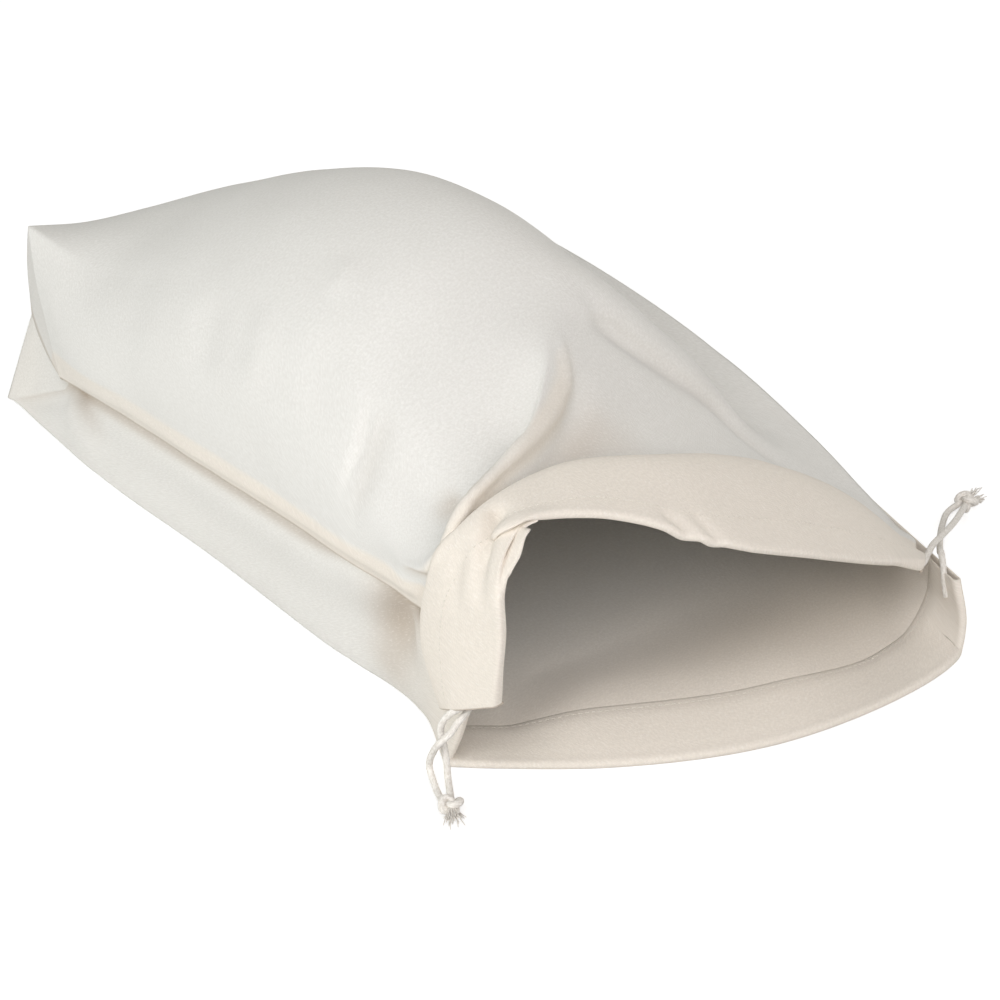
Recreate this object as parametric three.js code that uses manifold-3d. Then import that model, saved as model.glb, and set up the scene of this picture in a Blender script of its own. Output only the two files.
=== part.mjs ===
// Drawstring bag in undyed cotton, lying on its back panel with the mouth open.
// Millimetres. X runs from the boxed bottom to the mouth, Y from the near side to the far side,
// Z up from the surface it lies on. The finished group is centred on the box of the two panels.

import * as THREE from "three";
import Module from "manifold-3d";

// Cloth, seams and casing
const CLOTH = 1.5;
const TUNNEL = 6.6;
const STITCH_GAP = 2.0;
const HEM_TURN = 3.0;
const SEAM_LAP = 1.9;
const FLOOR = CLOTH / 2;

// Cords and knots
const CORD_RADIUS = 1.6;
const CORD_SIDES = 8;
const KNOT_CLEARANCE = 0.35;
const KNOT_WRAP_RADIUS = 3.7;
const KNOT_WRAP_TUBE = 1.8;
const KNOT_STRETCH = 1.25;
const FRAY_COUNT = 9;
const FRAY_LENGTH = 11.5;
const FRAY_UNEVEN = 0.12;
const FRAY_SPREAD = 0.42;
const FRAY_FLATTEN = 0.75;
const FRAY_TURN = 2.4;
const FRAY_WAVE = 1.7;
const FRAY_START = 2.5;
const FRAY_ROOT = 1.3;
const FRAY_TIP = 0.55;

// Mesh density
const ROWS_PER_SPAN = 2;
const COLUMNS_PER_SPAN = 3;

// The middle of the filled bag, from which the sections swell outward.
const AXIS_Y = 110;
const AXIS_Z = 45;

// Lines up to the crown rise from the near seam, and the lines past it from the far hollow.
const CROWN_LINE = 5;

// A fold with more lift than STEEP_LIFT stands upright on its foot, and a lower one slopes up to its crest.
const STEEP_LIFT = 3;
const STEEP_FOOT = 1;
const SLOPED_FOOT = 10;
const BAND_SWELL = 2;

// Casing along the lip of the back panel: its width, and the most of the run before it that it may take.
const LIP_CASING = 30;
const LIP_CASING_MOST = 0.8;

// Turned-in layer of a casing: share of the way back from its edge to the stitches, depth inside the
// outer layer, and reach past the edge.
const HEM_ROWS = [
  { share: 0, depth: HEM_TURN * 0.35, ahead: HEM_TURN * 0.75 },
  { share: 0, depth: TUNNEL - HEM_TURN * 0.35, ahead: HEM_TURN * 0.75 },
  { share: 0.12, depth: TUNNEL, ahead: 0 },
  { share: 0.5, depth: TUNNEL, ahead: 0 },
  { share: 0.8, depth: TUNNEL * 0.8, ahead: 0 },
  { share: 1, depth: STITCH_GAP, ahead: 0 },
];

// Front panel, one row for each line that runs along it from the near seam to the far seam.
// y and rise shape the body sections; bottom is the edge round the boxed bottom; seam is the bottom
// seam; roll is the leaning fold behind the mouth and lift its height; dip is the hollow behind the
// mouth band; crest is the outer fold of the band; stitch is the share of the band before the casing.
const FRONT_LINES = [
  {
    line: "near seam", y: 0, rise: 0, bottom: [61, 0, 38], seam: [61, 0, 38],
    roll: [384, 0, 69], lift: 0, dip: [397, 0, 70], under: [416, 0, 60],
    crest: [419, -8, 35], stitch: 0.2, mouth: [457, -6, 62],
  },
  {
    line: "low wall", y: -3, rise: 0.18, bottom: [45, 1, 58], seam: [42, 3, 43],
    roll: [386, -4, 86], lift: 1, dip: [399, -1, 86], under: [418, -1, 80],
    crest: [407, -9, 62], stitch: 0.3, mouth: [460, -6, 90],
  },
  {
    line: "wall", y: 0, rise: 0.43, bottom: [30, 5, 82], seam: [24, 7, 49],
    roll: [401, -8, 97], lift: 6, dip: [412, -3, 97], under: [420, -3, 97],
    crest: [412, -8, 95], stitch: 0.36, mouth: [463, -6, 116],
  },
  {
    line: "shoulder", y: 17, rise: 0.7, bottom: [18, 10, 102], seam: [13, 12, 52],
    roll: [412, 3, 127], lift: 8, dip: [420, 7, 121], under: [429, 9, 122],
    crest: [424, 8, 128], stitch: 0.35, mouth: [458, 12, 134],
  },
  {
    line: "near top", y: 52, rise: 0.92, bottom: [12, 42, 93], seam: [5, 45, 55],
    roll: [401, 40, 140], lift: 9, dip: [412, 44, 123], under: [426, 46, 127],
    crest: [423, 45, 136], stitch: 0.42, mouth: [464, 42, 133],
  },
  {
    line: "crown", y: 112, rise: 1, bottom: [6, 105, 87], seam: [1, 105, 54],
    roll: [358, 101, 143], lift: 6, dip: [400, 98, 113], under: [424, 97, 119],
    crest: [431, 95, 130], stitch: 0.6, mouth: [480, 90, 114],
  },
  {
    line: "far slope", y: 185, rise: 0.55, bottom: [4, 180, 76], seam: [1, 180, 52],
    roll: [372, 172, 98], lift: 0, dip: [398, 158, 88], under: [421, 157, 94],
    crest: [428, 155, 106], stitch: 0.62, mouth: [480, 140, 88],
  },
  {
    line: "hollow", y: 246, rise: 0, bottom: [10, 248, 62], seam: [10, 252, 52],
    roll: [370, 232, 43], lift: 0, dip: [396, 222, 46], under: [420, 219, 55],
    crest: [430, 214, 67], stitch: 0.6, mouth: [468, 200, 57],
  },
  {
    line: "far seam", y: 276, rise: 0, bottom: [45, 275, 54], seam: [45, 275, 54],
    roll: [374, 273, 24], lift: 0, dip: [402, 266, 26], under: [424, 257, 30],
    crest: [436, 247, 34], stitch: 0.3, mouth: [461, 229, 45],
  },
];

// Body sections of the front panel, with the heights of its seams, crown and far hollow.
const FRONT_BODY = [
  { x: 80, seam: 41, crown: 119, hollow: 53, far: 57 },
  { x: 150, seam: 48, crown: 154, hollow: 48, far: 54 },
  { x: 220, seam: 55, crown: 175, hollow: 46, far: 50 },
  { x: 290, seam: 61, crown: 177, hollow: 45, far: 40 },
  { x: 340, seam: 65, crown: 159, hollow: 43, far: 31 },
];

// Back panel, one row for each line: arch is the edge round the bottom, seam the bottom seam and
// lip the edge of the casing on the surface.
const BACK_LINES = [
  { line: "near seam", arch: [65, 2.4, 41], seam: [65, 2.4, 41], lip: [440, 6, 34] },
  { line: "near wall", arch: [34, 1.4, 20], seam: [45, 7, 47], lip: [428, 3, 16] },
  { line: "near edge", arch: [0, 2, FLOOR], seam: [20, 16, 54], lip: [416, 3, FLOOR] },
  { line: "near floor", arch: [-2, 90, FLOOR], seam: [6, 90, 57], lip: [455, 52, FLOOR] },
  { line: "far floor", arch: [-2, 180, FLOOR], seam: [5, 180, 54.5], lip: [485, 128, FLOOR] },
  { line: "far edge", arch: [2, 262, FLOOR], seam: [15, 246, 53], lip: [477, 240, FLOOR] },
  { line: "far wall", arch: [24, 272, 28], seam: [30, 264, 52], lip: [471, 248, 13] },
  { line: "far seam", arch: [47, 273, 50.5], seam: [47, 273, 50.5], lip: [462, 251, 30] },
];

// Low side walls of the back panel: how far the near wall laps up inside the front panel, where the
// middle of each wall lies between its seam and its foot, and the place of the far seam.
const NEAR_LAP = 3;
const NEAR_MIDDLE = { lean: 0.7, height: 0.42 };
const FAR_MIDDLE = { out: 14, height: 0.5 };
const FAR_SEAM = { y: 274, below: 3.2 };
const FLOOR_LINES = [90, 180];

// Body sections of the back panel: height of each side seam and the line where each wall meets the floor.
const BACK_BODY = [
  { x: 120, seam: 45, nearY: 5, farY: 258, far: 55 },
  { x: 200, seam: 53, nearY: 7, farY: 256, far: 51 },
  { x: 300, seam: 62, nearY: 8, farY: 254, far: 38 },
  { x: 380, seam: 69, nearY: 6, farY: 250, far: 23 },
];

// Visible run of each cord strand, from the end of its casing to its knot.
const STRANDS = [
  {
    name: "left_strand_front", casing: "front", starts: 0.67, leaves: 0, share: 0.62,
    run: [
      [435.4, -6.3, 43.6], [431.4, -10, 39.4], [428.2, -12.6, 34], [427, -13.2, 29],
      [428.4, -13, 24], [430, -12.5, 17], [432, -13, 8], [445, -20, 5.4],
    ],
    knot: "left_knot",
  },
  {
    name: "left_strand_back", casing: "back", starts: 0.67, leaves: 0, share: 0.25,
    run: [
      [433, 8.2, 40.4], [433.8, 4.6, 42.4], [434.2, 0, 41.8], [434.2, -4.6, 38.8],
      [433.5, -8.4, 34.8], [434.5, -13, 31.5], [433.2, -17, 28], [428, -17.8, 20],
      [424.5, -17.4, 10], [430.3, -18.8, 5.2], [445, -24, 5.4],
    ],
    knot: "left_knot",
  },
  {
    name: "right_strand_front", casing: "front", starts: 7.33, leaves: 8, share: 0.55,
    run: [
      [442.5, 248.5, 34.6], [433.5, 259.5, 30.8], [425, 271.8, 26.6], [404.9, 300.3, 16],
      [382.5, 329, 5.6],
    ],
    knot: "right_knot",
  },
  {
    name: "right_strand_back", casing: "back", starts: 6.33, leaves: 7, share: 0.35,
    run: [
      [452, 252, 33.5], [436.9, 263, 26], [408.9, 288, 12], [393.3, 303.8, 7.5],
      [381.9, 318.8, 5.4], [379, 329.5, 5.4],
    ],
    knot: "right_knot",
  },
];

// Each knot: its middle, the way its frayed ends point, and the plane turns of its wraps.
const KNOTS = [
  { name: "left_knot", at: [447.9, -22.2, 5.6], ends: [0.88, -0.45, -0.05] },
  { name: "right_knot", at: [380.5, 331.5, 5.6], ends: [-0.22, 0.97, -0.05] },
];
const KNOT_WRAPS = [
  { along: -2.1, tilt: 0.35, turn: 0.3 },
  { along: 1.9, tilt: -0.4, turn: -0.25 },
  { along: 0, tilt: 1.15, turn: 0.9 },
];

const CLOTH_FINISH = { color: 0xefe8da, roughness: 0.95, metalness: 0 };
const CORD_FINISH = { color: 0xeae4d8, roughness: 0.9, metalness: 0 };

const solids = await Module();
solids.setup();

const vec = (p) => new THREE.Vector3(p[0], p[1], p[2]);

/** Direction from the middle of the filled bag to a point, across the bag. */
function outward(p) {
  return new THREE.Vector3(0, p.y - AXIS_Y, p.z - AXIS_Z).normalize();
}

/** Tangent at b for a curve through a, b and c, weighted so that uneven spacing does not overshoot. */
function tangent(a, b, c, span) {
  const before = a.distanceTo(b) + 1e-6;
  const after = b.distanceTo(c) + 1e-6;
  const into = b.clone().sub(a).multiplyScalar(after / before);
  const out = c.clone().sub(b).multiplyScalar(before / after);
  return into.add(out).multiplyScalar(span / (before + after));
}

/** Smooth curve through the points, with the given number of steps in each span. */
function smooth(points, steps) {
  const last = points.length - 1;
  const curve = [];
  for (let i = 0; i < last; i += 1) {
    const b = points[i];
    const c = points[i + 1];
    const a = i > 0 ? points[i - 1] : b.clone().multiplyScalar(2).sub(c);
    const d = i + 2 <= last ? points[i + 2] : c.clone().multiplyScalar(2).sub(b);
    const span = b.distanceTo(c) + 1e-6;
    const tb = tangent(a, b, c, span);
    const tc = tangent(b, c, d, span);
    for (let k = 0; k < steps; k += 1) {
      const f = k / steps;
      const g = f * f;
      const h = g * f;
      const p = b.clone().multiplyScalar(2 * h - 3 * g + 1);
      p.addScaledVector(tb, h - 2 * g + f);
      p.addScaledVector(c, 3 * g - 2 * h);
      p.addScaledVector(tc, h - g);
      curve.push(p);
    }
  }
  curve.push(points[last].clone());
  return curve;
}

/** Smooth grid through a net of points given as rows. */
function smoothNet(net, rowSteps, columnSteps) {
  const columns = net[0].map((_, j) => smooth(net.map((row) => row[j]), rowSteps));
  const rows = columns[0].map((_, i) => columns.map((column) => column[i]));
  return rows.map((row) => smooth(row, columnSteps));
}

/** Body section of the front panel as one row of the net. */
function frontSection(section) {
  return FRONT_LINES.map((line, j) => {
    const foot = j <= CROWN_LINE ? section.seam : section.hollow;
    const height = foot + (section.crown - foot) * line.rise;
    return new THREE.Vector3(section.x, line.y, j === FRONT_LINES.length - 1 ? section.far : height);
  });
}

/** Rows of the casing's turned-in layer, laid inside the outer layer between its edge and the stitches. */
function hemRows(stitchRow, edgeRow, side) {
  const across = (row, j) => {
    const after = row[Math.min(j + 1, row.length - 1)];
    return after.clone().sub(row[Math.max(j - 1, 0)]);
  };
  const frames = edgeRow.map((edge, j) => {
    const forward = edge.clone().sub(stitchRow[j]).normalize();
    const inward = across(edgeRow, j).cross(forward).normalize().multiplyScalar(side);
    return { edge, forward, inward, stitch: stitchRow[j] };
  });
  return HEM_ROWS.map(({ share, depth, ahead }) => frames.map((f) => {
    const p = f.edge.clone().lerp(f.stitch, share);
    return p.addScaledVector(f.inward, depth).addScaledVector(f.forward, ahead);
  }));
}

/** Front panel: boxed bottom, body, leaning folds, mouth band and casing, as rows of points. */
function frontRows() {
  const column = (key) => FRONT_LINES.map((line) => vec(line[key]));
  const bottom = column("bottom");
  const seam = column("seam");
  const roll = column("roll");
  const crest = column("crest");
  const mouth = column("mouth");
  const rollFoot = roll.map((p, j) => {
    const lift = FRONT_LINES[j].lift;
    const foot = p.clone().addScaledVector(outward(p), -lift);
    foot.x -= lift > STEEP_LIFT ? STEEP_FOOT : SLOPED_FOOT;
    return foot;
  });
  const stitch = crest.map((p, j) => {
    const onBand = p.clone().lerp(mouth[j], FRONT_LINES[j].stitch);
    return onBand.addScaledVector(outward(p), BAND_SWELL);
  });
  const body = FRONT_BODY.map(frontSection);
  const top = smoothNet([bottom, ...body], ROWS_PER_SPAN, COLUMNS_PER_SPAN);
  const folds = smoothNet(
    [body.at(-2), body.at(-1), rollFoot, roll, column("dip"), column("under"), crest, stitch, mouth],
    ROWS_PER_SPAN,
    COLUMNS_PER_SPAN,
  );
  const end = smoothNet([seam, bottom], ROWS_PER_SPAN, COLUMNS_PER_SPAN).slice(0, -1);
  const edgeRow = folds.at(-1);
  const stitchRow = folds.at(-1 - ROWS_PER_SPAN);
  const hem = hemRows(stitchRow, edgeRow, 1);
  const grid = [...end, ...top.slice(0, -1), ...folds.slice(ROWS_PER_SPAN), ...hem];
  return { grid, stitchRow, edgeRow, hem };
}

/** Back panel: boxed bottom, floor and low side walls, and the casing along its lip, as rows of points. */
function backRows() {
  const column = (key) => BACK_LINES.map((line) => vec(line[key]));
  const arch = column("arch");
  const body = BACK_BODY.map((s) => [
    new THREE.Vector3(s.x, SEAM_LAP, s.seam + NEAR_LAP),
    new THREE.Vector3(s.x, SEAM_LAP + s.nearY * NEAR_MIDDLE.lean, s.seam * NEAR_MIDDLE.height),
    new THREE.Vector3(s.x, s.nearY, FLOOR),
    ...FLOOR_LINES.map((y) => new THREE.Vector3(s.x, y, FLOOR)),
    new THREE.Vector3(s.x, s.farY, FLOOR),
    new THREE.Vector3(s.x, s.farY + FAR_MIDDLE.out, s.far * FAR_MIDDLE.height),
    new THREE.Vector3(s.x, FAR_SEAM.y, s.far - FAR_SEAM.below),
  ]);
  const lip = column("lip");
  const stitch = lip.map((p, j) => {
    const before = body.at(-1)[j];
    const ahead = p.clone().sub(before);
    return p.clone().addScaledVector(ahead, -Math.min(LIP_CASING_MOST, LIP_CASING / ahead.length()));
  });
  const sheet = smoothNet([arch, ...body, stitch, lip], ROWS_PER_SPAN, COLUMNS_PER_SPAN);
  sheet.flat().forEach((p) => p.setZ(Math.max(p.z, FLOOR)));
  const end = smoothNet([column("seam"), arch], ROWS_PER_SPAN, COLUMNS_PER_SPAN).slice(0, -1);
  const edgeRow = sheet.at(-1);
  const stitchRow = sheet.at(-1 - ROWS_PER_SPAN);
  const hem = hemRows(stitchRow, edgeRow, -1);
  return { grid: [...end, ...sheet, ...hem], stitchRow, edgeRow, hem };
}

/** Closed solid of cloth thickness about a grid of points; neighbouring equal points become one. */
function clothSolid(rows) {
  const points = [];
  const keys = new Map();
  const index = rows.map((row) => row.map((p) => {
    const key = `${p.x.toFixed(3)},${p.y.toFixed(3)},${p.z.toFixed(3)}`;
    if (!keys.has(key)) {
      keys.set(key, points.length);
      points.push(p);
    }
    return keys.get(key);
  }));
  const faces = [];
  const addFace = (a, b, c) => {
    if (a !== b && b !== c && c !== a) {
      faces.push([a, b, c]);
    }
  };
  for (let i = 0; i + 1 < index.length; i += 1) {
    for (let j = 0; j + 1 < index[i].length; j += 1) {
      addFace(index[i][j], index[i + 1][j], index[i + 1][j + 1]);
      addFace(index[i][j], index[i + 1][j + 1], index[i][j + 1]);
    }
  }
  const normals = points.map(() => new THREE.Vector3());
  for (const [a, b, c] of faces) {
    const ab = points[b].clone().sub(points[a]);
    const area = ab.cross(points[c].clone().sub(points[a]));
    for (const k of [a, b, c]) {
      normals[k].add(area);
    }
  }
  normals.forEach((n) => n.normalize());
  const count = points.length;
  const outer = points.map((p, k) => p.clone().addScaledVector(normals[k], CLOTH / 2));
  const inner = points.map((p, k) => p.clone().addScaledVector(normals[k], -CLOTH / 2));
  const triangles = [];
  const edges = new Map();
  for (const [a, b, c] of faces) {
    triangles.push([a, b, c], [count + a, count + c, count + b]);
    for (const [s, e] of [[a, b], [b, c], [c, a]]) {
      if (edges.has(`${e},${s}`)) {
        edges.delete(`${e},${s}`);
      } else {
        edges.set(`${s},${e}`, [s, e]);
      }
    }
  }
  for (const [s, e] of edges.values()) {
    triangles.push([s, count + s, count + e], [s, count + e, e]);
  }
  return { points: [...outer, ...inner], triangles };
}

/** Geometry of an indexed mesh of points and triangles. */
function geometry(mesh) {
  const made = new THREE.BufferGeometry();
  const positions = mesh.points.flatMap((p) => [p.x, p.y, p.z]);
  made.setAttribute("position", new THREE.Float32BufferAttribute(positions, 3));
  made.setIndex(mesh.triangles.flat());
  made.computeVertexNormals();
  return made;
}

/** Round cord of even thickness along a smooth curve, closed at both ends. */
function cordMesh(route, radius, sides) {
  const curve = smooth(route, 3);
  const points = [];
  const triangles = [];
  let side = new THREE.Vector3(0, 0, 1);
  curve.forEach((p, i) => {
    const ahead = curve[Math.min(i + 1, curve.length - 1)].clone();
    const way = ahead.sub(curve[Math.max(i - 1, 0)]).normalize();
    side = side.clone().addScaledVector(way, -side.dot(way)).normalize();
    const other = way.clone().cross(side);
    for (let k = 0; k < sides; k += 1) {
      const angle = (2 * Math.PI * k) / sides;
      const rim = p.clone().addScaledVector(side, radius * Math.cos(angle));
      points.push(rim.addScaledVector(other, radius * Math.sin(angle)));
    }
  });
  for (let i = 0; i + 1 < curve.length; i += 1) {
    for (let k = 0; k < sides; k += 1) {
      const a = i * sides + k;
      const b = i * sides + ((k + 1) % sides);
      triangles.push([a, b, b + sides], [a, b + sides, a + sides]);
    }
  }
  const lastRing = (curve.length - 1) * sides;
  for (let k = 1; k + 1 < sides; k += 1) {
    triangles.push([0, k + 1, k], [lastRing, lastRing + k, lastRing + k + 1]);
  }
  return { points, triangles };
}

/** Solid body of an indexed mesh, for joining and cutting. */
function body(mesh) {
  const vertProperties = new Float32Array(mesh.points.flatMap((p) => [p.x, p.y, p.z]));
  const triVerts = new Uint32Array(mesh.triangles.flat());
  return new solids.Manifold(new solids.Mesh({ numProp: 3, vertProperties, triVerts }));
}

/** Geometry of a solid body. */
function bodyGeometry(solid) {
  const mesh = solid.getMesh();
  const made = new THREE.BufferGeometry();
  made.setAttribute("position", new THREE.BufferAttribute(Float32Array.from(mesh.vertProperties), 3));
  made.setIndex(new THREE.BufferAttribute(Uint32Array.from(mesh.triVerts), 1));
  made.computeVertexNormals();
  return made;
}

/** Axes of a knot: along its frayed ends, and two ways across. */
function knotAxes(knot) {
  const along = vec(knot.ends).normalize();
  const across = new THREE.Vector3(0, 0, 1).cross(along).normalize();
  return { along, across, up: along.clone().cross(across) };
}

/** Overhand knot: three crossing wraps round a core, with frayed ends; grow swells it for a clearance. */
function knotBody(knot, grow) {
  const { along, across, up } = knotAxes(knot);
  const middle = vec(knot.at);
  const frame = new THREE.Matrix4().makeBasis(across, up, along).setPosition(middle);
  const joined = [];
  const core = new THREE.SphereGeometry(KNOT_WRAP_RADIUS + grow, 10, 7);
  core.scale(1, 1, KNOT_STRETCH);
  joined.push(fromGeometry(core.applyMatrix4(frame)));
  for (const wrap of KNOT_WRAPS) {
    const ring = new THREE.TorusGeometry(KNOT_WRAP_RADIUS, KNOT_WRAP_TUBE + grow, 6, 12);
    ring.rotateX(wrap.tilt);
    ring.rotateY(wrap.turn);
    ring.translate(0, 0, wrap.along);
    joined.push(fromGeometry(ring.applyMatrix4(frame)));
  }
  for (let k = 0; k < FRAY_COUNT && grow === 0; k += 1) {
    const angle = k * FRAY_TURN;
    const spread = FRAY_SPREAD * Math.sqrt((k + 0.5) / FRAY_COUNT);
    const way = along.clone().addScaledVector(across, spread * Math.cos(angle));
    way.addScaledVector(up, FRAY_FLATTEN * spread * Math.sin(angle)).normalize();
    const length = FRAY_LENGTH * (1 - FRAY_UNEVEN + FRAY_UNEVEN * Math.cos(k * FRAY_WAVE));
    const strand = new THREE.CylinderGeometry(FRAY_TIP, FRAY_ROOT, length, 4);
    strand.translate(0, length / 2 + FRAY_START, 0);
    strand.applyQuaternion(new THREE.Quaternion().setFromUnitVectors(new THREE.Vector3(0, 1, 0), way));
    strand.translate(middle.x, middle.y, middle.z);
    joined.push(fromGeometry(strand));
  }
  return solids.Manifold.union(joined);
}

/** Solid body of a closed three.js geometry, with its equal points made one. */
function fromGeometry(shape) {
  const position = shape.getAttribute("position");
  const points = [];
  const keys = new Map();
  const number = [];
  for (let i = 0; i < position.count; i += 1) {
    const p = new THREE.Vector3().fromBufferAttribute(position, i);
    const key = `${p.x.toFixed(4)},${p.y.toFixed(4)},${p.z.toFixed(4)}`;
    if (!keys.has(key)) {
      keys.set(key, points.length);
      points.push(p);
    }
    number.push(keys.get(key));
  }
  const order = shape.getIndex().array;
  const triangles = [];
  for (let i = 0; i < order.length; i += 3) {
    const [a, b, c] = [number[order[i]], number[order[i + 1]], number[order[i + 2]]];
    if (a !== b && b !== c && c !== a) {
      triangles.push([a, b, c]);
    }
  }
  return body({ points, triangles });
}

/** Middle of the casing tunnel of a panel, at a line number and a share of its width from the edge. */
function tunnelPoint(panel, line, share) {
  const j = Math.round(line * COLUMNS_PER_SPAN);
  const outer = panel.edgeRow[j].clone().lerp(panel.stitchRow[j], share);
  const after = HEM_ROWS.findIndex((row) => row.share > share);
  const [near, far] = [HEM_ROWS[after - 1].share, HEM_ROWS[after].share];
  const inner = panel.hem[after - 1][j].clone().lerp(panel.hem[after][j], (share - near) / (far - near));
  return outer.lerp(inner, 0.5);
}

/** Whole route of a strand: a short run hidden in its casing, then its visible run. */
function strandRoute(strand, panels) {
  const panel = panels[strand.casing];
  const hidden = [strand.starts, strand.leaves].map((line) => tunnelPoint(panel, line, strand.share));
  return [...hidden, ...strand.run.map(vec)];
}

const panels = { front: frontRows(), back: backRows() };
const group = new THREE.Group();
group.name = "drawstring_bag";

/** Adds one named piece to the bag. */
function addPiece(name, shape, finish) {
  const mesh = new THREE.Mesh(shape, new THREE.MeshStandardMaterial(finish));
  mesh.name = name;
  group.add(mesh);
}

addPiece("front_panel", geometry(clothSolid(panels.front.grid)), CLOTH_FINISH);
addPiece("back_panel", geometry(clothSolid(panels.back.grid)), CLOTH_FINISH);

const box = new THREE.Box3();
group.children.forEach((piece) => {
  piece.geometry.computeBoundingBox();
  box.union(piece.geometry.boundingBox);
});

for (const strand of STRANDS) {
  const knot = KNOTS.find((k) => k.name === strand.knot);
  const cord = body(cordMesh(strandRoute(strand, panels), CORD_RADIUS, CORD_SIDES));
  addPiece(strand.name, bodyGeometry(cord.subtract(knotBody(knot, KNOT_CLEARANCE))), CORD_FINISH);
}
for (const knot of KNOTS) {
  addPiece(knot.name, bodyGeometry(knotBody(knot, 0)), CORD_FINISH);
}

const middle = box.getCenter(new THREE.Vector3());
group.position.set(-middle.x, -middle.y, -box.min.z);

export default group;
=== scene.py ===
"""Undyed cotton drawstring bag, lying on its back panel with its mouth open.

Sizes are millimetres in the bag's own frame: x runs from the boxed bottom to the mouth, y from the near
side to the far side and z up from the surface. `to_frame` moves points into the part's frame, in metres.
"""

from __future__ import annotations

import logging
import math
from abc import ABC, abstractmethod
from collections.abc import Sequence
from dataclasses import dataclass
from enum import Enum
from typing import Any

import bpy
import numpy as np
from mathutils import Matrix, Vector

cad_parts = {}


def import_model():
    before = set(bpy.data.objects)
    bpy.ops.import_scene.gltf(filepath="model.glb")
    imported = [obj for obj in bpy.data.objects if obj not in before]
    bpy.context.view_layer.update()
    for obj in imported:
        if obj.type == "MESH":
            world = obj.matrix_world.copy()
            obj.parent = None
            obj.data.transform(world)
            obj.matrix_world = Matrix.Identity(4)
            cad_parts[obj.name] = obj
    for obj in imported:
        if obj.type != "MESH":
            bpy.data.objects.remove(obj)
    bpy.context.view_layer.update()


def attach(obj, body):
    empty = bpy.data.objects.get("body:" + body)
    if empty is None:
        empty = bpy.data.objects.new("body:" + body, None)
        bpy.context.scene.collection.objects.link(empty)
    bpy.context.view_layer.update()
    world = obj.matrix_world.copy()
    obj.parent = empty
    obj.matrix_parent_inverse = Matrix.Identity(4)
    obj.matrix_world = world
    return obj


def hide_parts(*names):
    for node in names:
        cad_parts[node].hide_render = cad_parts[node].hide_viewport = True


Array = np.ndarray
Point = tuple[float, float, float]
Colour = tuple[float, float, float, float]
Pair = tuple[float, float]
Four = tuple[float, float, float, float]

LOG = logging.getLogger("drawstring_bag")
MM = 0.001
BAG_TO_PART = np.array((-241.49, -132.43, 0.0))
BODY = "root"
CLOTH_MAP = "cloth"
CORD_MAP = "cord"
WARMTH = "warmth"
SHADE = "shade"
NOISE_CELLS = 64
RIM_ROUND = 0.35
ODD_WAY = (0.31, 0.17, 0.93)


class Slot(Enum):
    """Material slots of the record."""

    CLOTH = "cotton_cloth"
    CORD = "cotton_cord"


class Face(Enum):
    """Which way a panel's outer face lies from its grid: rows crossed with columns, or the reverse."""

    ROWS_BY_COLUMNS = 1
    COLUMNS_BY_ROWS = -1


def to_frame(points: Array) -> Array:
    """Points of the bag's own frame, in mm, as points of the part's frame, in metres."""
    return (np.asarray(points, float) + BAG_TO_PART) * MM


def unit(vectors: Array) -> Array:
    """Vectors divided by their length, along the last axis."""
    return vectors / (np.linalg.norm(vectors, axis=-1, keepdims=True) + 1e-9)


def span_numbers(steps: Sequence[int]) -> Array:
    """Place of each fine point among the coarse ones: 0 at the first, 1 at the second, and so on."""
    return np.concatenate([i + np.arange(n) / n for i, n in enumerate(steps)] + [[len(steps)]])


def smooth(points: Array, steps: Sequence[int]) -> Array:
    """Smooth curve through rows of points: cubic Hermite spans, with nearer neighbours weighing more.

    Args:
        points: array whose first axis runs along the curve and whose last axis holds x, y, z.
        steps: number of steps in each span.

    Returns:
        The points of the curve, with the first axis sampled more finely.
    """
    points = np.asarray(points, float)
    last = len(points) - 1
    u = span_numbers(steps)
    i = np.minimum(u.astype(int), last - 1)
    f = (u - i).reshape((-1,) + (1,) * (points.ndim - 1))
    led = (i > 0).reshape(f.shape)
    followed = (i + 2 <= last).reshape(f.shape)
    b, c = points[i], points[i + 1]
    a = np.where(led, points[np.maximum(i - 1, 0)], 2 * b - c)
    d = np.where(followed, points[np.minimum(i + 2, last)], 2 * c - b)
    chords = ((a, b), (b, c), (c, d))
    before, span, after = (np.linalg.norm(q - p, axis=-1, keepdims=True) + 1e-6 for p, q in chords)
    leave = ((b - a) / before * span + (c - b) / span * before) / (before + span) * span
    arrive = ((c - b) / span * after + (d - c) / after * span) / (span + after) * span
    return (
        (2 * f**3 - 3 * f**2 + 1) * b
        + (f**3 - 2 * f**2 + f) * leave
        + (3 * f**2 - 2 * f**3) * c
        + (f**3 - f**2) * arrive
    )


def cornered(points: Array, steps: Sequence[int], corners: Sequence[int]) -> Array:
    """Smooth curve through points, broken into separate smooth runs at its corners.

    Args:
        points: points x 3.
        steps: number of steps in each span.
        corners: numbers of the points that stay sharp.

    Returns:
        The points of the curve.
    """
    stops = [0, *corners, len(points) - 1]
    runs = [smooth(points[a : b + 1], steps[a:b]) for a, b in zip(stops, stops[1:])]
    return np.concatenate([run[:-1] for run in runs] + [runs[-1][-1:]])


def folded(before: Array, after: Array, radius: float = 0.8) -> Array:
    """Two grids joined at a crisp fold, with an extra row close to it on each side.

    Args:
        before: rows that end at the fold.
        after: rows that start at the fold.
        radius: distance of the extra rows from the fold.

    Returns:
        All rows.
    """
    edge = after[0]
    near = [edge + unit(row - edge) * radius for row in (before[-2], after[1])]
    return np.concatenate((before[:-1], [near[0], edge, near[1]], after[1:]))


def ramp(values: Array, low: float, high: float) -> Array:
    """Values eased from 0 at low to 1 at high."""
    f = np.clip((np.asarray(values, float) - low) / (high - low), 0, 1)
    return f * f * (3 - 2 * f)


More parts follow.
